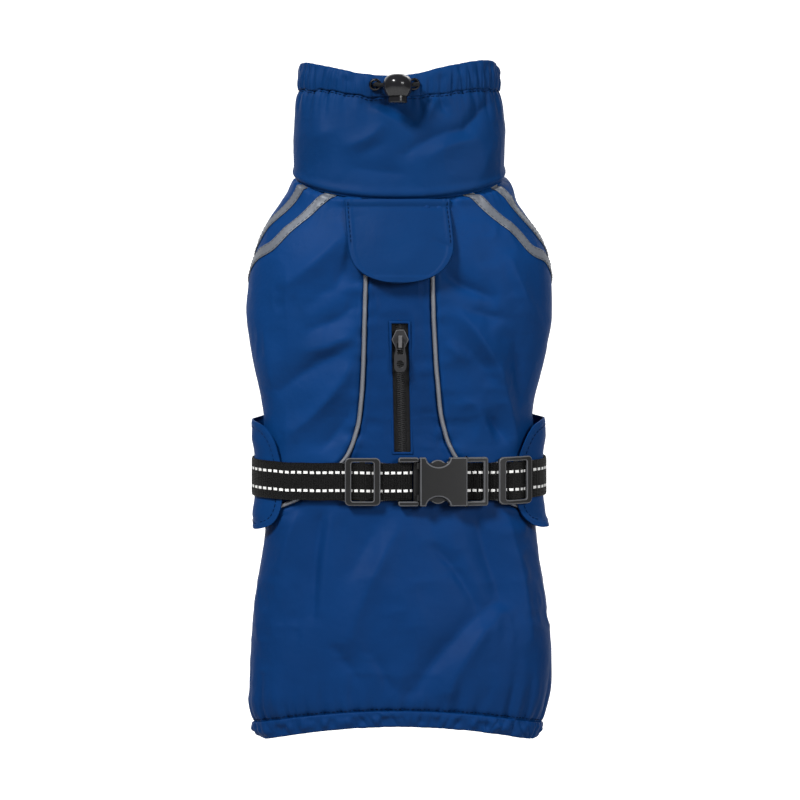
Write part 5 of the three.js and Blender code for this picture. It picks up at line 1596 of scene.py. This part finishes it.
    def outline_piece(self, name: str, outline: Sequence[Place], near: float, far: float) -> bpy.types.Object:
        """Return a plate of an outline seen from behind, between two depths towards the viewer."""
        count = len(outline)
        points = [(x, -near, z) for x, z in outline] + [(x, -far, z) for x, z in outline]
        faces = [list(range(count))[::-1], list(range(count, 2 * count))]
        faces += [[i, (i + 1) % count, count + (i + 1) % count, count + i] for i in range(count)]
        return Bench.worked(name, (points, [], faces))

    def slider(self) -> bpy.types.Object:
        """Return the slider's painted body."""
        x, half = self.slider_x, self.slider_width / 2
        top, bottom = self.slider_top, self.slider_bottom
        outline = [
            (x - half * 0.45, bottom), (x + half * 0.45, bottom), (x + half * 1.08, top - 6.6),
            (x + half * 0.5, top), (x - half * 0.5, top), (x - half * 1.08, top - 6.6),
        ]
        piece = self.outline_piece("zip_slider_body", outline, self.slider_back, self.slider_face)
        Bench.soften(piece, 0.5, 3, 35, mottle_and_painted_highlight=True)
        Bench.place(piece, lambda flat: flat)
        return piece

    def bridge(self) -> bpy.types.Object:
        """Return the bright bridge that holds the tab."""
        x = self.slider_x
        piece = Bench.block("zip_bridge", (x - 1.2, x + 1.2), (-98.9, -90.9), (44.9, 46.2))
        for z0, z1 in ((-92.3, -91.0), (-98.8, -97.5)):
            leg = Bench.block("leg", (x - 1.1, x + 1.1), (z0, z1), (self.slider_face - 0.4, 46.2))
            Bench.combine(piece, leg, "UNION")
        Bench.soften(piece, 0.4, 3, 35)
        Bench.place(piece, lambda flat: flat)
        return piece

    def tab(self) -> bpy.types.Object:
        """Return the pull tab with its window and its round hole."""
        x, half = self.slider_x, 4.1
        top, bottom = self.tab_top, self.tab_bottom
        outline = [
            (x - half * 0.55, top), (x + half * 0.55, top), (x + half * 0.75, top - 1.2),
            (x + half * 0.75, top - 6), (x + half, top - 10), (x + half, bottom + 4),
            (x + half * 0.88, bottom + 1.6), (x + half * 0.6, bottom), (x - half * 0.6, bottom),
            (x - half * 0.88, bottom + 1.6), (x - half, bottom + 4), (x - half, top - 10),
            (x - half * 0.75, top - 6), (x - half * 0.75, top - 1.2),
        ]
        near, far = self.tab_y - self.tab_thick / 2, self.tab_y + self.tab_thick / 2
        piece = self.outline_piece("zip_pull", outline, near, far)
        Bench.combine(piece, Bench.block("hole", (x - 1.9, x + 1.9), (-103.5, -96.0), (40, 47)), "DIFFERENCE")
        Bench.combine(piece, Bench.drum("round", (x, -109.8), (2.4, 2.4), (40, 47)), "DIFFERENCE")
        Bench.soften(piece, 0.35, 3, 40)
        Bench.place(piece, lambda flat: flat)
        return piece


# Drawstring with its eyelets and cord lock


def tube(name: str, route: Array, radius: float, sides: int = 14) -> bpy.types.Object:
    """Make a round tube with closed ends along points in millimetres."""
    ways = np.gradient(route, axis=0)
    ways /= np.linalg.norm(ways, axis=1, keepdims=True)
    up = np.array([0.0, 0.0, 1.0])
    sideways = np.cross(ways, up)
    sideways /= np.linalg.norm(sideways, axis=1, keepdims=True)
    over = np.cross(sideways, ways)
    turns = np.linspace(0, 2 * math.pi, sides, endpoint=False)
    ring = np.cos(turns)[None, :, None] * sideways[:, None, :] + np.sin(turns)[None, :, None] * over[:, None, :]
    points = route[:, None, :] + radius * ring
    count = len(route)
    ids = np.arange(count * sides).reshape(count, sides)
    faces = [
        [int(ids[i, k]), int(ids[i + 1, k]), int(ids[i + 1, (k + 1) % sides]), int(ids[i, (k + 1) % sides])]
        for i in range(count - 1)
        for k in range(sides)
    ]
    faces += [[int(i) for i in ids[0]], [int(i) for i in ids[-1][::-1]]]
    run = np.concatenate([[0], np.cumsum(np.linalg.norm(np.diff(route, axis=0), axis=1))])
    uv = np.stack(np.broadcast_arrays(run[:, None] * MM, turns[None, :] * radius * MM), axis=-1)
    return make_piece(name, points.reshape(-1, 3), faces, uv.reshape(-1, 2))


def lathe(name: str, outline: Sequence[Place], sides: int = 64) -> bpy.types.Object:
    """Turn a closed outline of radius and height about the upright axis, with Blender's spin."""
    count = len(outline)
    lines = [(i, (i + 1) % count) for i in range(count)]
    return Bench.worked(
        name, ([(r, 0.0, z) for r, z in outline], lines, []),
        lambda: bpy.ops.mesh.spin(steps=sides, angle=2 * math.pi, center=(0, 0, 0), axis=(0, 0, 1),
                                  use_auto_merge=True),
        lambda: bpy.ops.mesh.remove_doubles(threshold=0.001),
    )


@dataclass
class Drawstring:
    """The collar's cord with its two eyelets and the round cord lock."""

    lock_x: float = -0.8
    lock_y: float = -48.2
    lock_z: float = 75.2
    cord_radius: float = 1.3
    cord_steps: int = 12
    bore: float = 4.9
    cap_bore: float = 6.6
    shaft: float = 4.6
    eyelets: tuple[tuple[float, float, float, float], ...] = ((-15.8, -37.2, 76.3, -7.0), (10.0, -37.5, 76.6, 4.5))
    route: tuple[tuple[float, float, float], ...] = (
        (-15.8, -34.6, 76.3), (-15.8, -39.5, 76.3), (-15, -44, 75.9), (-12, -47.3, 75.4), (-8, -48.2, 75.2),
        (-0.8, -48.2, 75.2), (6, -48.2, 75.2), (9.8, -48.1, 75.3), (12.6, -46, 75.8), (12.2, -42.2, 76.3),
        (10.3, -39.4, 76.6), (10, -35, 76.6),
    )

    def move(self, dx: float, dy: float) -> Callable[[Array], Array]:
        """Return a mapping that moves a piece sideways."""
        return lambda flat: flat + np.array([dx, dy, 0.0])

    def cord(self) -> bpy.types.Object:
        """Return the cord."""
        return tube("draw_cord", dense(self.route, self.cord_steps), self.cord_radius)

    def eyelet(self, name: str, place: tuple[float, float, float, float]) -> bpy.types.Object:
        """Return one rolled eyelet, turned to the casing's face."""
        x, y, z, lean = place
        outline = [(2.3, 0.0), (3.9, 0.0), (4.15, 0.45), (3.9, 1.05), (3.3, 1.45), (2.7, 1.4), (2.35, 1.0)]
        piece = lathe(name, outline)
        turn = Matrix.Rotation(math.radians(lean), 3, "Z") @ Matrix.Rotation(math.pi / 2, 3, "X")
        mapping = np.array(turn)
        Bench.place(piece, lambda flat: flat @ mapping.T + np.array([x, y, z]))
        return piece

    def lock(self) -> bpy.types.Object:
        """Return the lock's domed cap, bored for the plunger and drilled for the cord."""
        outer = [(7.5, 67.7), (8.0, 68.6), (8.9, 70.5), (9.6, 72.8), (9.9, 75.3), (9.7, 77.0), (9.1, 78.5),
                 (8.2, 79.9), (6.9, 81.1), (5.0, 82.0), (2.6, 82.5), (0.0, 82.7)]
        inner = [(0.0, 80.0), (self.bore, 80.0), (self.bore, 72.5), (self.cap_bore, 72.5), (self.cap_bore, 67.7)]
        piece = lathe("cord_lock_cap", [*outer, *inner])
        drill = Bench.drum("drill", (0, 0), (1.95, 1.95), (-15, 15))
        for vertex in drill.data.vertices:
            x, y, z = vertex.co
            vertex.co = Vector((y, x, z + self.lock_z))
        drill.data.flip_normals()
        Bench.combine(piece, drill, "DIFFERENCE")
        Bench.soften(piece, 0.3, 2, 50)
        Bench.place(piece, self.move(self.lock_x, self.lock_y))
        return piece

    def plunger(self) -> bpy.types.Object:
        """Return the sprung plunger with its slot for the cord."""
        outline = [(0.0, 63.0), (5.4, 63.0), (6.1, 63.3), (6.3, 64.0), (6.3, 67.9), (self.shaft, 67.9),
                   (self.shaft, 75.7), (0.0, 75.7)]
        piece = lathe("cord_lock_button", outline)
        slot = Bench.block("slot", (-7, 7), (69.3, 79.3), (-2, 2))
        Bench.combine(piece, slot, "DIFFERENCE")
        Bench.soften(piece, 0.2, 2, 50)
        Bench.place(piece, self.move(self.lock_x, self.lock_y))
        return piece


# Materials


def linear(colour: str) -> tuple[float, float, float, float]:
    """Turn an sRGB hex colour into Blender's linear colour."""
    channels = [int(colour[i : i + 2], 16) / 255 for i in (0, 2, 4)]
    flat = [c / 12.92 if c <= 0.04045 else ((c + 0.055) / 1.055) ** 2.4 for c in channels]
    return (*flat, 1.0)


class Graph:
    """The node tree of one material."""

    def __init__(self, name: str) -> None:
        """Start a material with its shader."""
        self.material = bpy.data.materials.new(name)
        self.material.use_nodes = True
        self.tree = self.material.node_tree
        self.shader = next(node for node in self.tree.nodes if node.type == "BSDF_PRINCIPLED")

    def add(self, kind: str, settings: dict[str, object] | None = None,
            links: dict[str | int, object] | None = None,
            values: dict[str | int, object] | None = None) -> bpy.types.Node:
        """Add a node with its settings, its linked inputs and its fixed inputs."""
        node = self.tree.nodes.new(kind)
        for key, value in (settings or {}).items():
            setattr(node, key, value)
        for key, value in (values or {}).items():
            node.inputs[key].default_value = value
        for key, source in (links or {}).items():
            self.tree.links.new(source, node.inputs[key])
        return node

    def set(self, **values: object) -> None:
        """Set the shader's own sockets, with underscores for spaces."""
        for key, value in values.items():
            self.shader.inputs[key.replace("_", " ")].default_value = value

    def link(self, socket: str, source: bpy.types.NodeSocket) -> None:
        """Link a source to the shader."""
        self.tree.links.new(source, self.shader.inputs[socket])

    def bump(self, height: bpy.types.NodeSocket, strength: float, distance: float,
             under: bpy.types.NodeSocket | None = None) -> bpy.types.NodeSocket:
        """Give the surface a relief.

        Args:
            height: the source of the relief.
            strength: how strong it is, from 0 to 1.
            distance: how deep it is at most, in metres.
            under: the normal of a relief that it lies on.

        Returns:
            The new normal, which the shader then uses.
        """
        links = {"Height": height} if under is None else {"Height": height, "Normal": under}
        node = self.add("ShaderNodeBump", links=links, values={"Strength": strength, "Distance": distance})
        self.link("Normal", node.outputs["Normal"])
        return node.outputs["Normal"]


@dataclass(frozen=True)
class ClothFinish:
    """Coated polyester: its colour, how it shines and how uneven it is."""

    name: str
    slot: str
    colour: str
    mottle_and_painted_highlight: str
    rough: float = 0.55
    gloss: float = 0.06


class Finishes:
    """Every finish of the coat, each made once, with the webbing's dashes and ribs in metres."""

    DASH_PITCH = 0.00427
    DASH_SHARE = 0.66
    DASH_ROW = 0.0060
    DASH_HALF = 0.0009
    RIB_PITCH = 0.00165
    PICK_PITCH = 0.0011

    def __init__(self) -> None:
        """Start with no materials."""
        self.made: dict[str, bpy.types.Material] = {}

    @staticmethod
    def object_noise(graph: Graph, scale: float, detail: float = 2.0) -> bpy.types.Node:
        """Return a noise in the coat's own space, with bumps of one over the scale in metres."""
        space = graph.add("ShaderNodeTexCoord")
        return graph.add("ShaderNodeTexNoise", links={"Vector": space.outputs["Object"]},
                         values={"Scale": scale, "Detail": detail})

    @staticmethod
    def mix(graph: Graph, factor: bpy.types.NodeSocket, first: str, second: str) -> bpy.types.NodeSocket:
        """Return a colour between two, by a factor."""
        ramp = graph.add("ShaderNodeValToRGB", links={"Fac": factor})
        ramp.color_ramp.elements[0].color = linear(first)
        ramp.color_ramp.elements[1].color = linear(second)
        return ramp.outputs["Color"]

    def cloth(self, finish: ClothFinish) -> bpy.types.Material:
        """Return light coated polyester: fine crinkles and a plain weave catch the light softly."""
        graph = Graph(finish.name)
        slow = self.object_noise(graph, 38.0, 3.0)
        graph.link("Base Color", self.mix(graph, slow.outputs["Fac"], finish.mottle_and_painted_highlight, finish.colour))
        crinkle = self.object_noise(graph, 320.0, 4.0)
        uv = graph.add("ShaderNodeTexCoord")
        weave = graph.add("ShaderNodeTexWave", {"bands_direction": "DIAGONAL"}, {"Vector": uv.outputs["UV"]},
                          {"Scale": 480.0, "Distortion": 0.6})
        fine = graph.bump(weave.outputs["Fac"], 0.12, 0.0002)
        graph.bump(crinkle.outputs["Fac"], 0.35, 0.0006, fine)
        graph.set(Roughness=finish.rough, Specular_IOR_Level=finish.gloss)
        return graph.material

    def reflective(self, name: str, dark: str, light: str, rough: float) -> bpy.types.Material:
        """Return glass-beaded reflective cloth: grey, with a soft shine and a fine grain."""
        graph = Graph(name)
        grain = self.object_noise(graph, 900.0, 3.0)
        graph.link("Base Color", self.mix(graph, grain.outputs["Fac"], dark, light))
        graph.bump(grain.outputs["Fac"], 0.25, 0.0003)
        graph.set(Roughness=rough, Metallic=0.15, Specular_IOR_Level=0.6)
        return graph.material

    def webbing(self) -> bpy.types.Material:
        """Return black ribbed polypropylene webbing with two woven rows of white dashes."""
        graph = Graph("ribbed_polypropylene_webbing")
        uv = graph.add("ShaderNodeTexCoord")
        split = graph.add("ShaderNodeSeparateXYZ", links={"Vector": uv.outputs["UV"]})

        def math_node(kind: str, a: object, b: object) -> bpy.types.NodeSocket:
            """Return one sum, whose parts are sockets or numbers."""
            node = graph.add("ShaderNodeMath", {"operation": kind})
            for i, part in enumerate((a, b)):
                if isinstance(part, bpy.types.NodeSocket):
                    graph.tree.links.new(part, node.inputs[i])
                else:
                    node.inputs[i].default_value = part
            return node.outputs["Value"]

        along_dash = math_node("FRACT", math_node("DIVIDE", split.outputs["X"], self.DASH_PITCH), 0.0)
        dash = math_node("LESS_THAN", along_dash, self.DASH_SHARE)
        off_middle = math_node("ABSOLUTE", split.outputs["Y"], 0.0)
        row = math_node("ABSOLUTE", math_node("SUBTRACT", off_middle, self.DASH_ROW), 0.0)
        mark = math_node("MULTIPLY", dash, math_node("LESS_THAN", row, self.DASH_HALF))
        rib = math_node("SINE", math_node("MULTIPLY", split.outputs["X"], 2 * math.pi / self.RIB_PITCH), 0.0)
        pick = math_node("SINE", math_node("MULTIPLY", split.outputs["Y"], 2 * math.pi / self.PICK_PITCH), 0.0)
        relief = math_node("ADD", math_node("MULTIPLY", rib, 0.7), math_node("MULTIPLY", pick, 0.5))
        colour = graph.add("ShaderNodeMix", {"data_type": "RGBA"}, values={6: linear("0a0a0a"), 7: linear("f6f6f4")})
        graph.tree.links.new(mark, colour.inputs["Factor"])
        graph.link("Base Color", colour.outputs[2])
        graph.bump(math_node("MULTIPLY", relief, math_node("SUBTRACT", 1.0, mark)), 0.9, 0.0006)
        graph.set(Roughness=0.65, Specular_IOR_Level=0.16)
        return graph.material

    def plastic(self, name: str, colour: str, rough: float, grain: float) -> bpy.types.Material:
        """Return moulded plastic with a slightly uneven face."""
        graph = Graph(name)
        noise = self.object_noise(graph, 260.0, 2.0)
        graph.bump(noise.outputs["Fac"], grain, 0.0002)
        graph.set(Base_Color=linear(colour), Roughness=rough, Specular_IOR_Level=0.28)
        return graph.material

    def metal(self, name: str, colour: str, rough: float) -> bpy.types.Material:
        """Return cast metal with fine wear."""
        graph = Graph(name)
        noise = self.object_noise(graph, 500.0, 3.0)
        graph.bump(noise.outputs["Fac"], 0.15, 0.0002)
        graph.set(Base_Color=linear(colour), Roughness=rough, Metallic=1.0)
        return graph.material

    def knit(self, name: str, colour: str, pitch: float, rough: float = 0.8) -> bpy.types.Material:
        """Return narrow textile such as zip tape, braid or thread, by its pitch in metres."""
        graph = Graph(name)
        uv = graph.add("ShaderNodeTexCoord")
        wave = graph.add("ShaderNodeTexWave", {"bands_direction": "DIAGONAL"}, {"Vector": uv.outputs["UV"]},
                         {"Scale": 0.05 / pitch * 2, "Distortion": 0.5})
        graph.bump(wave.outputs["Fac"], 0.4, 0.0004)
        graph.set(Base_Color=linear(colour), Roughness=rough, Specular_IOR_Level=0.2)
        return graph.material


# Studio


@dataclass(frozen=True)
class SoftBox:
    """One area light: where it stands, its size in metres and its power."""

    name: str
    at: tuple[float, float, float]
    size: float
    power: float


class Studio:
    """The camera at the photograph's angle, soft lights and a pale floor that rises behind the coat."""

    LENS = 162.0
    EYE = (0.0007, -2.435, -0.1337)
    BOXES = (
        SoftBox("key_softbox", (-1.4, -1.9, 1.9), 0.8, 100.0),
        SoftBox("fill_softbox", (1.5, -2.0, 0.6), 0.9, 33.0),
        SoftBox("rim_softbox", (0.9, 1.3, 1.5), 1.0, 10.0),
    )

    def build(self) -> None:
        """Set up everything that isn't the coat."""
        camera = bpy.data.cameras.new("camera")
        camera.lens = self.LENS
        camera.sensor_width = 36.0
        holder = bpy.data.objects.new("camera", camera)
        holder.location = self.EYE
        holder.rotation_euler = (math.pi / 2, 0, 0)
        bpy.context.scene.collection.objects.link(holder)
        bpy.context.scene.camera = holder
        for box in self.BOXES:
            light = bpy.data.lights.new(box.name, "AREA")
            light.shape = "DISK"
            light.size = box.size
            light.energy = box.power
            lamp = bpy.data.objects.new(box.name, light)
            lamp.location = box.at
            way = Vector((0, 0, -0.13)) - Vector(box.at)
            lamp.rotation_euler = way.to_track_quat("-Z", "Y").to_euler()
            bpy.context.scene.collection.objects.link(lamp)
        self.sky()
        self.backdrop()
        scene = bpy.context.scene
        scene.view_settings.view_transform = "Standard"
        scene.view_settings.look = "None"

    @staticmethod
    def sky() -> None:
        """Set a plain white world."""
        world = bpy.data.worlds.new("studio_white")
        bpy.context.scene.world = world
        world.use_nodes = True
        light = next(node for node in world.node_tree.nodes if node.type == "BACKGROUND")
        light.inputs["Color"].default_value = (1, 1, 1, 1)
        light.inputs["Strength"].default_value = 0.17

    @staticmethod
    def backdrop() -> bpy.types.Object:
        """Return the pale paper: a floor well below the coat that curves up into a wall behind it."""
        floor, front, back, bend, top, half = -0.9, -4.0, 2.6, 0.9, 3.4, 4.5
        turns = np.linspace(0, math.pi / 2, 13)
        line = [(front, floor), *((back - bend + bend * math.sin(t), floor + bend - bend * math.cos(t)) for t in turns)]
        line.append((back, top))
        points = [(x / MM, y / MM, z / MM) for y, z in line for x in (-half, half)]
        faces = [[2 * i, 2 * i + 1, 2 * i + 3, 2 * i + 2] for i in range(len(line) - 1)]
        paper = make_piece("pale_paper_sweep", points, faces)
        graph = Graph("pale_studio_paper")
        graph.set(Base_Color=linear("f6f6f5"), Roughness=0.95, Emission_Color=(1, 1, 1, 1), Emission_Strength=0.85)
        paper.data.materials.append(graph.material)
        paper.visible_diffuse = False
        return paper


# The cut of the cloth


class Held(Enum):
    """How a sheet of cloth is held."""

    DRAPED = "draped"
    HUNG = "hung"
    GATHERED = "gathered"
    STRETCHED = "stretched"


@dataclass(frozen=True)
class Cut:
    """One cut sheet: its flat width and length and flat area in metres, and what is sewn to it."""

    piece: str
    flat: Place
    held: Held
    area: float
    rests_on: tuple[str, ...] = ()
    trims: tuple[str, ...] = ()

    def declare(self) -> None:
        """Do nothing with the sheet."""


CUTS = (
    Cut("back_cloth", (0.300, 0.352), Held.DRAPED, 0.0520, ("belly_cloth",), ("zip_window_edge",)),
    Cut("side_cloth_left", (0.165, 0.214), Held.DRAPED, 0.0250, ("back_cloth", "belly_cloth"),
        ("piping_bead_left", "reflective_left_lower", "reflective_left_upper", "thread_tapes")),
    Cut("side_cloth_right", (0.165, 0.214), Held.DRAPED, 0.0252, ("back_cloth", "belly_cloth"),
        ("piping_bead_right", "reflective_right_lower", "reflective_right_upper")),
    Cut("belly_cloth", (0.312, 0.224), Held.DRAPED, 0.0455, ("side_cloth_left", "side_cloth_right"), ("thread_belly",)),
    Cut("collar_cloth", (0.296, 0.0705), Held.DRAPED, 0.0204, ("back_cloth",)),
    Cut("collar_casing_cloth", (0.400, 0.0168), Held.GATHERED, 0.0067, ("collar_cloth",), ("thread_hems",)),
    Cut("hem_casing_cloth", (0.360, 0.0104), Held.GATHERED, 0.0037, ("back_cloth",)),
    Cut("leash_flap_cloth", (0.071, 0.0575), Held.HUNG, 0.0037, ("collar_cloth", "back_cloth"), ("thread_flap",)),
    Cut("belt_band", (0.025, 0.440), Held.STRETCHED, 0.0110, ("back_cloth", "belly_cloth")),
    Cut("zip_band_left", (0.0125, 0.0975), Held.STRETCHED, 0.00121, ("back_cloth",), ("zip_coil_left",)),
    Cut("zip_band_right", (0.0125, 0.0975), Held.STRETCHED, 0.00121, ("back_cloth",), ("zip_coil_right",)),
)


# The whole coat


@dataclass(frozen=True)
class Dressing:
    """What a finished piece stands for in the frame."""

    material: str
    slot: str
    replaces: tuple[str, ...] = ()
    body: str = ROOT
    edge: str = ""


class Raincoat:
    """Builds every piece and gives it its finish and body."""

    def __init__(self) -> None:
        """Make the finishes."""
        self.finishes = Finishes()
        make = self.finishes
        self.materials = {
            # One navy fabric in three copies: the side and belly panels' copy is a shade lighter, and the collar,
            # casing and flap's a shade darker, than the back's; painted light and shade.
            "back": make.cloth(ClothFinish("back_coated_polyester", "shell_fabric", "06366d", "052f61")),
            "side": make.cloth(ClothFinish("side_coated_polyester", "shell_fabric", "073a74", "063366")),
            "collar": make.cloth(ClothFinish("collar_coated_polyester", "shell_fabric", "06366a", "052e5e")),
            "reflective": make.reflective("reflective_tape_cloth", "555a63", "6d727b", 0.5),
            "piping": make.reflective("reflective_piping_cloth", "5c5f67", "76797f", 0.5),
            "webbing": make.webbing(),
            "buckle": make.plastic("moulded_acetal_buckle", "111112", 0.45, 0.12),
            # Lighter grey for the bevels of the buckle, slides and slider: painted highlight along their rims.
            "painted_highlight_edge": make.plastic("painted_highlight_acetal_edge", "58595c", 0.36, 0.08),
            "zip_tape": make.knit("knitted_zip_tape", "1d1d1e", 0.0008),
            "coil": make.plastic("extruded_nylon_coil", "262627", 0.5, 0.05),
            "zip_metal": make.metal("die_cast_zinc_slider", "9c9c9f", 0.3),
            "pull": make.plastic("painted_zinc_pull", "303032", 0.35, 0.05),
            "eyelet": make.metal("blackened_brass_eyelet", "2c2c2f", 0.3),
            # The navy thread is darker than the cloth it matches: painted shade for the dark dots along the stitch
            # lines.
            "thread": make.cloth(ClothFinish("navy_thread_painted_shade", "shell_fabric", "041a3a", "03122b", 0.8, 0.03)),
            "tape_thread": make.cloth(ClothFinish("grey_sewing_thread", "shell_fabric", "5a5f69", "4a4f58", 0.8, 0.1)),
            "cord": make.knit("braided_polyester_cord", "151516", 0.0012),
            "lock": make.plastic("glossy_moulded_lock", "1d1d20", 0.16, 0.03),
        }

    def dress(self, piece: bpy.types.Object, dressing: Dressing) -> bpy.types.Object:
        """Give a piece its material and body, and hide the solids it stands for."""
        finishes = [dressing.material, dressing.edge] if dressing.edge else [dressing.material]
        for i, finish in enumerate(finishes):
            if i == len(piece.data.materials):
                piece.data.materials.append(None)
            piece.data.materials[i] = self.materials[finish]
        if dressing.replaces:
            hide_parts(*dressing.replaces)
        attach(piece, dressing.body)
        return piece

    def cloth(self) -> None:
        """Build the panels, the collar, the hem and the flap."""
        shell, collar = Shell(), Collar()
        pieces = {
            "back_panel": (shell.back(), "back"),
            "side_panel_left": (shell.side(-1).build(), "side"),
            "side_panel_right": (shell.side(1).build(), "side"),
            "belly_panel": (shell.belly(), "side"),
            "collar": (collar.tube(), "collar"),
            "collar_casing": (collar.casing(), "collar"),
            "hem_casing": (Hem().build(), "back"),
            "leash_flap": (LeashFlap().build(), "collar"),
        }
        for node, (piece, material) in pieces.items():
            self.dress(piece, Dressing(material, "shell_fabric", (node,)))

    def trims(self) -> None:
        """Build the piping and the reflective tapes."""
        for side, name in ((-1, "piping_left"), (1, "piping_right")):
            self.dress(Piping().build(side), Dressing("piping", "piping", (name,)))
        tapes = ReflectiveTapes()
        for route in tapes.routes:
            self.dress(tapes.build(route), Dressing("reflective", "reflective_tape", (f"tape_{route}",)))

    def stitching(self) -> None:
        """Sew the rows of thread that show."""
        thread = Stitches()
        rows = {
            "thread_belly": thread.belly(),
            "thread_hems": thread.hems(),
            "thread_tapes": thread.tapes(),
            "thread_flap": [LeashFlap().seam(side) for side in (-1, 1)],
        }
        for name, lines in rows.items():
            # The navy rows take the darker thread finish as painted shade along the seams.
            finish = "tape_thread" if name == "thread_tapes" else "thread"
            self.dress(thread.build(name, lines), Dressing(finish, "shell_fabric"))

    def belt(self) -> None:
        """Build the webbing, the two slides and the buckle."""
        self.dress(Webbing().build(), Dressing("webbing", "webbing", ("belt_webbing",)))
        # The slides and both buckle halves take the lighter grey on their bevels as painted highlight.
        for side, middle in (("left", -15.6), ("right", 55.5)):
            piece = Slide().build(f"belt_slide_{side}", middle)
            self.dress(piece, Dressing("buckle", "buckle_plastic", (f"slide_{side}",), edge="painted_highlight_edge"))
        for half, node in ((Buckle().male(), "buckle_male"), (Buckle().female(), "buckle_female")):
            self.dress(half, Dressing("buckle", "buckle_plastic", (node,), edge="painted_highlight_edge"))

    def zip(self) -> None:
        """Build the zip and the edge of its window."""
        back_zip = BackZip()
        for side, name in ((-1, "left"), (1, "right")):
            self.dress(back_zip.tape(side), Dressing("zip_tape", "zip_tape", (f"zip_tape_{name}",)))
            self.dress(back_zip.coil(side), Dressing("coil", "zip_tape"))
        self.dress(back_zip.window_edge(), Dressing("back", "shell_fabric"))
        # The slider's bevels take the lighter grey as painted highlight.
        self.dress(back_zip.slider(), Dressing("pull", "zip_metal", ("zip_slider",), edge="painted_highlight_edge"))
        self.dress(back_zip.bridge(), Dressing("zip_metal", "zip_metal"))
        self.dress(back_zip.tab(), Dressing("pull", "pull_plastic", ("pull_tab",), "pull_tab"))

    def drawstring(self) -> None:
        """Build the cord, the eyelets and the cord lock."""
        parts = Drawstring()
        self.dress(parts.cord(), Dressing("cord", "cord", ("drawcord",)))
        for side, place in zip(("left", "right"), parts.eyelets):
            ring = parts.eyelet(f"eyelet_ring_{side}", place)
            self.dress(ring, Dressing("eyelet", "eyelet_metal", (f"eyelet_{side}",)))
        self.dress(parts.lock(), Dressing("lock", "lock_plastic", ("cord_lock",)))
        self.dress(parts.plunger(), Dressing("lock", "lock_plastic", ("cord_lock_plunger",), "plunger"))

    def build(self) -> None:
        """Build the coat."""
        for step in (self.cloth, self.trims, self.stitching, self.belt, self.zip, self.drawstring):
            LOG.info("building %s", step.__name__)
            step()
        for cut in CUTS:
            cut.declare()


def main() -> None:
    """Build the coat in its studio."""
    logging.basicConfig(level=logging.INFO)
    Studio().build()
    Raincoat().build()


if __name__ == "__main__":
    main()
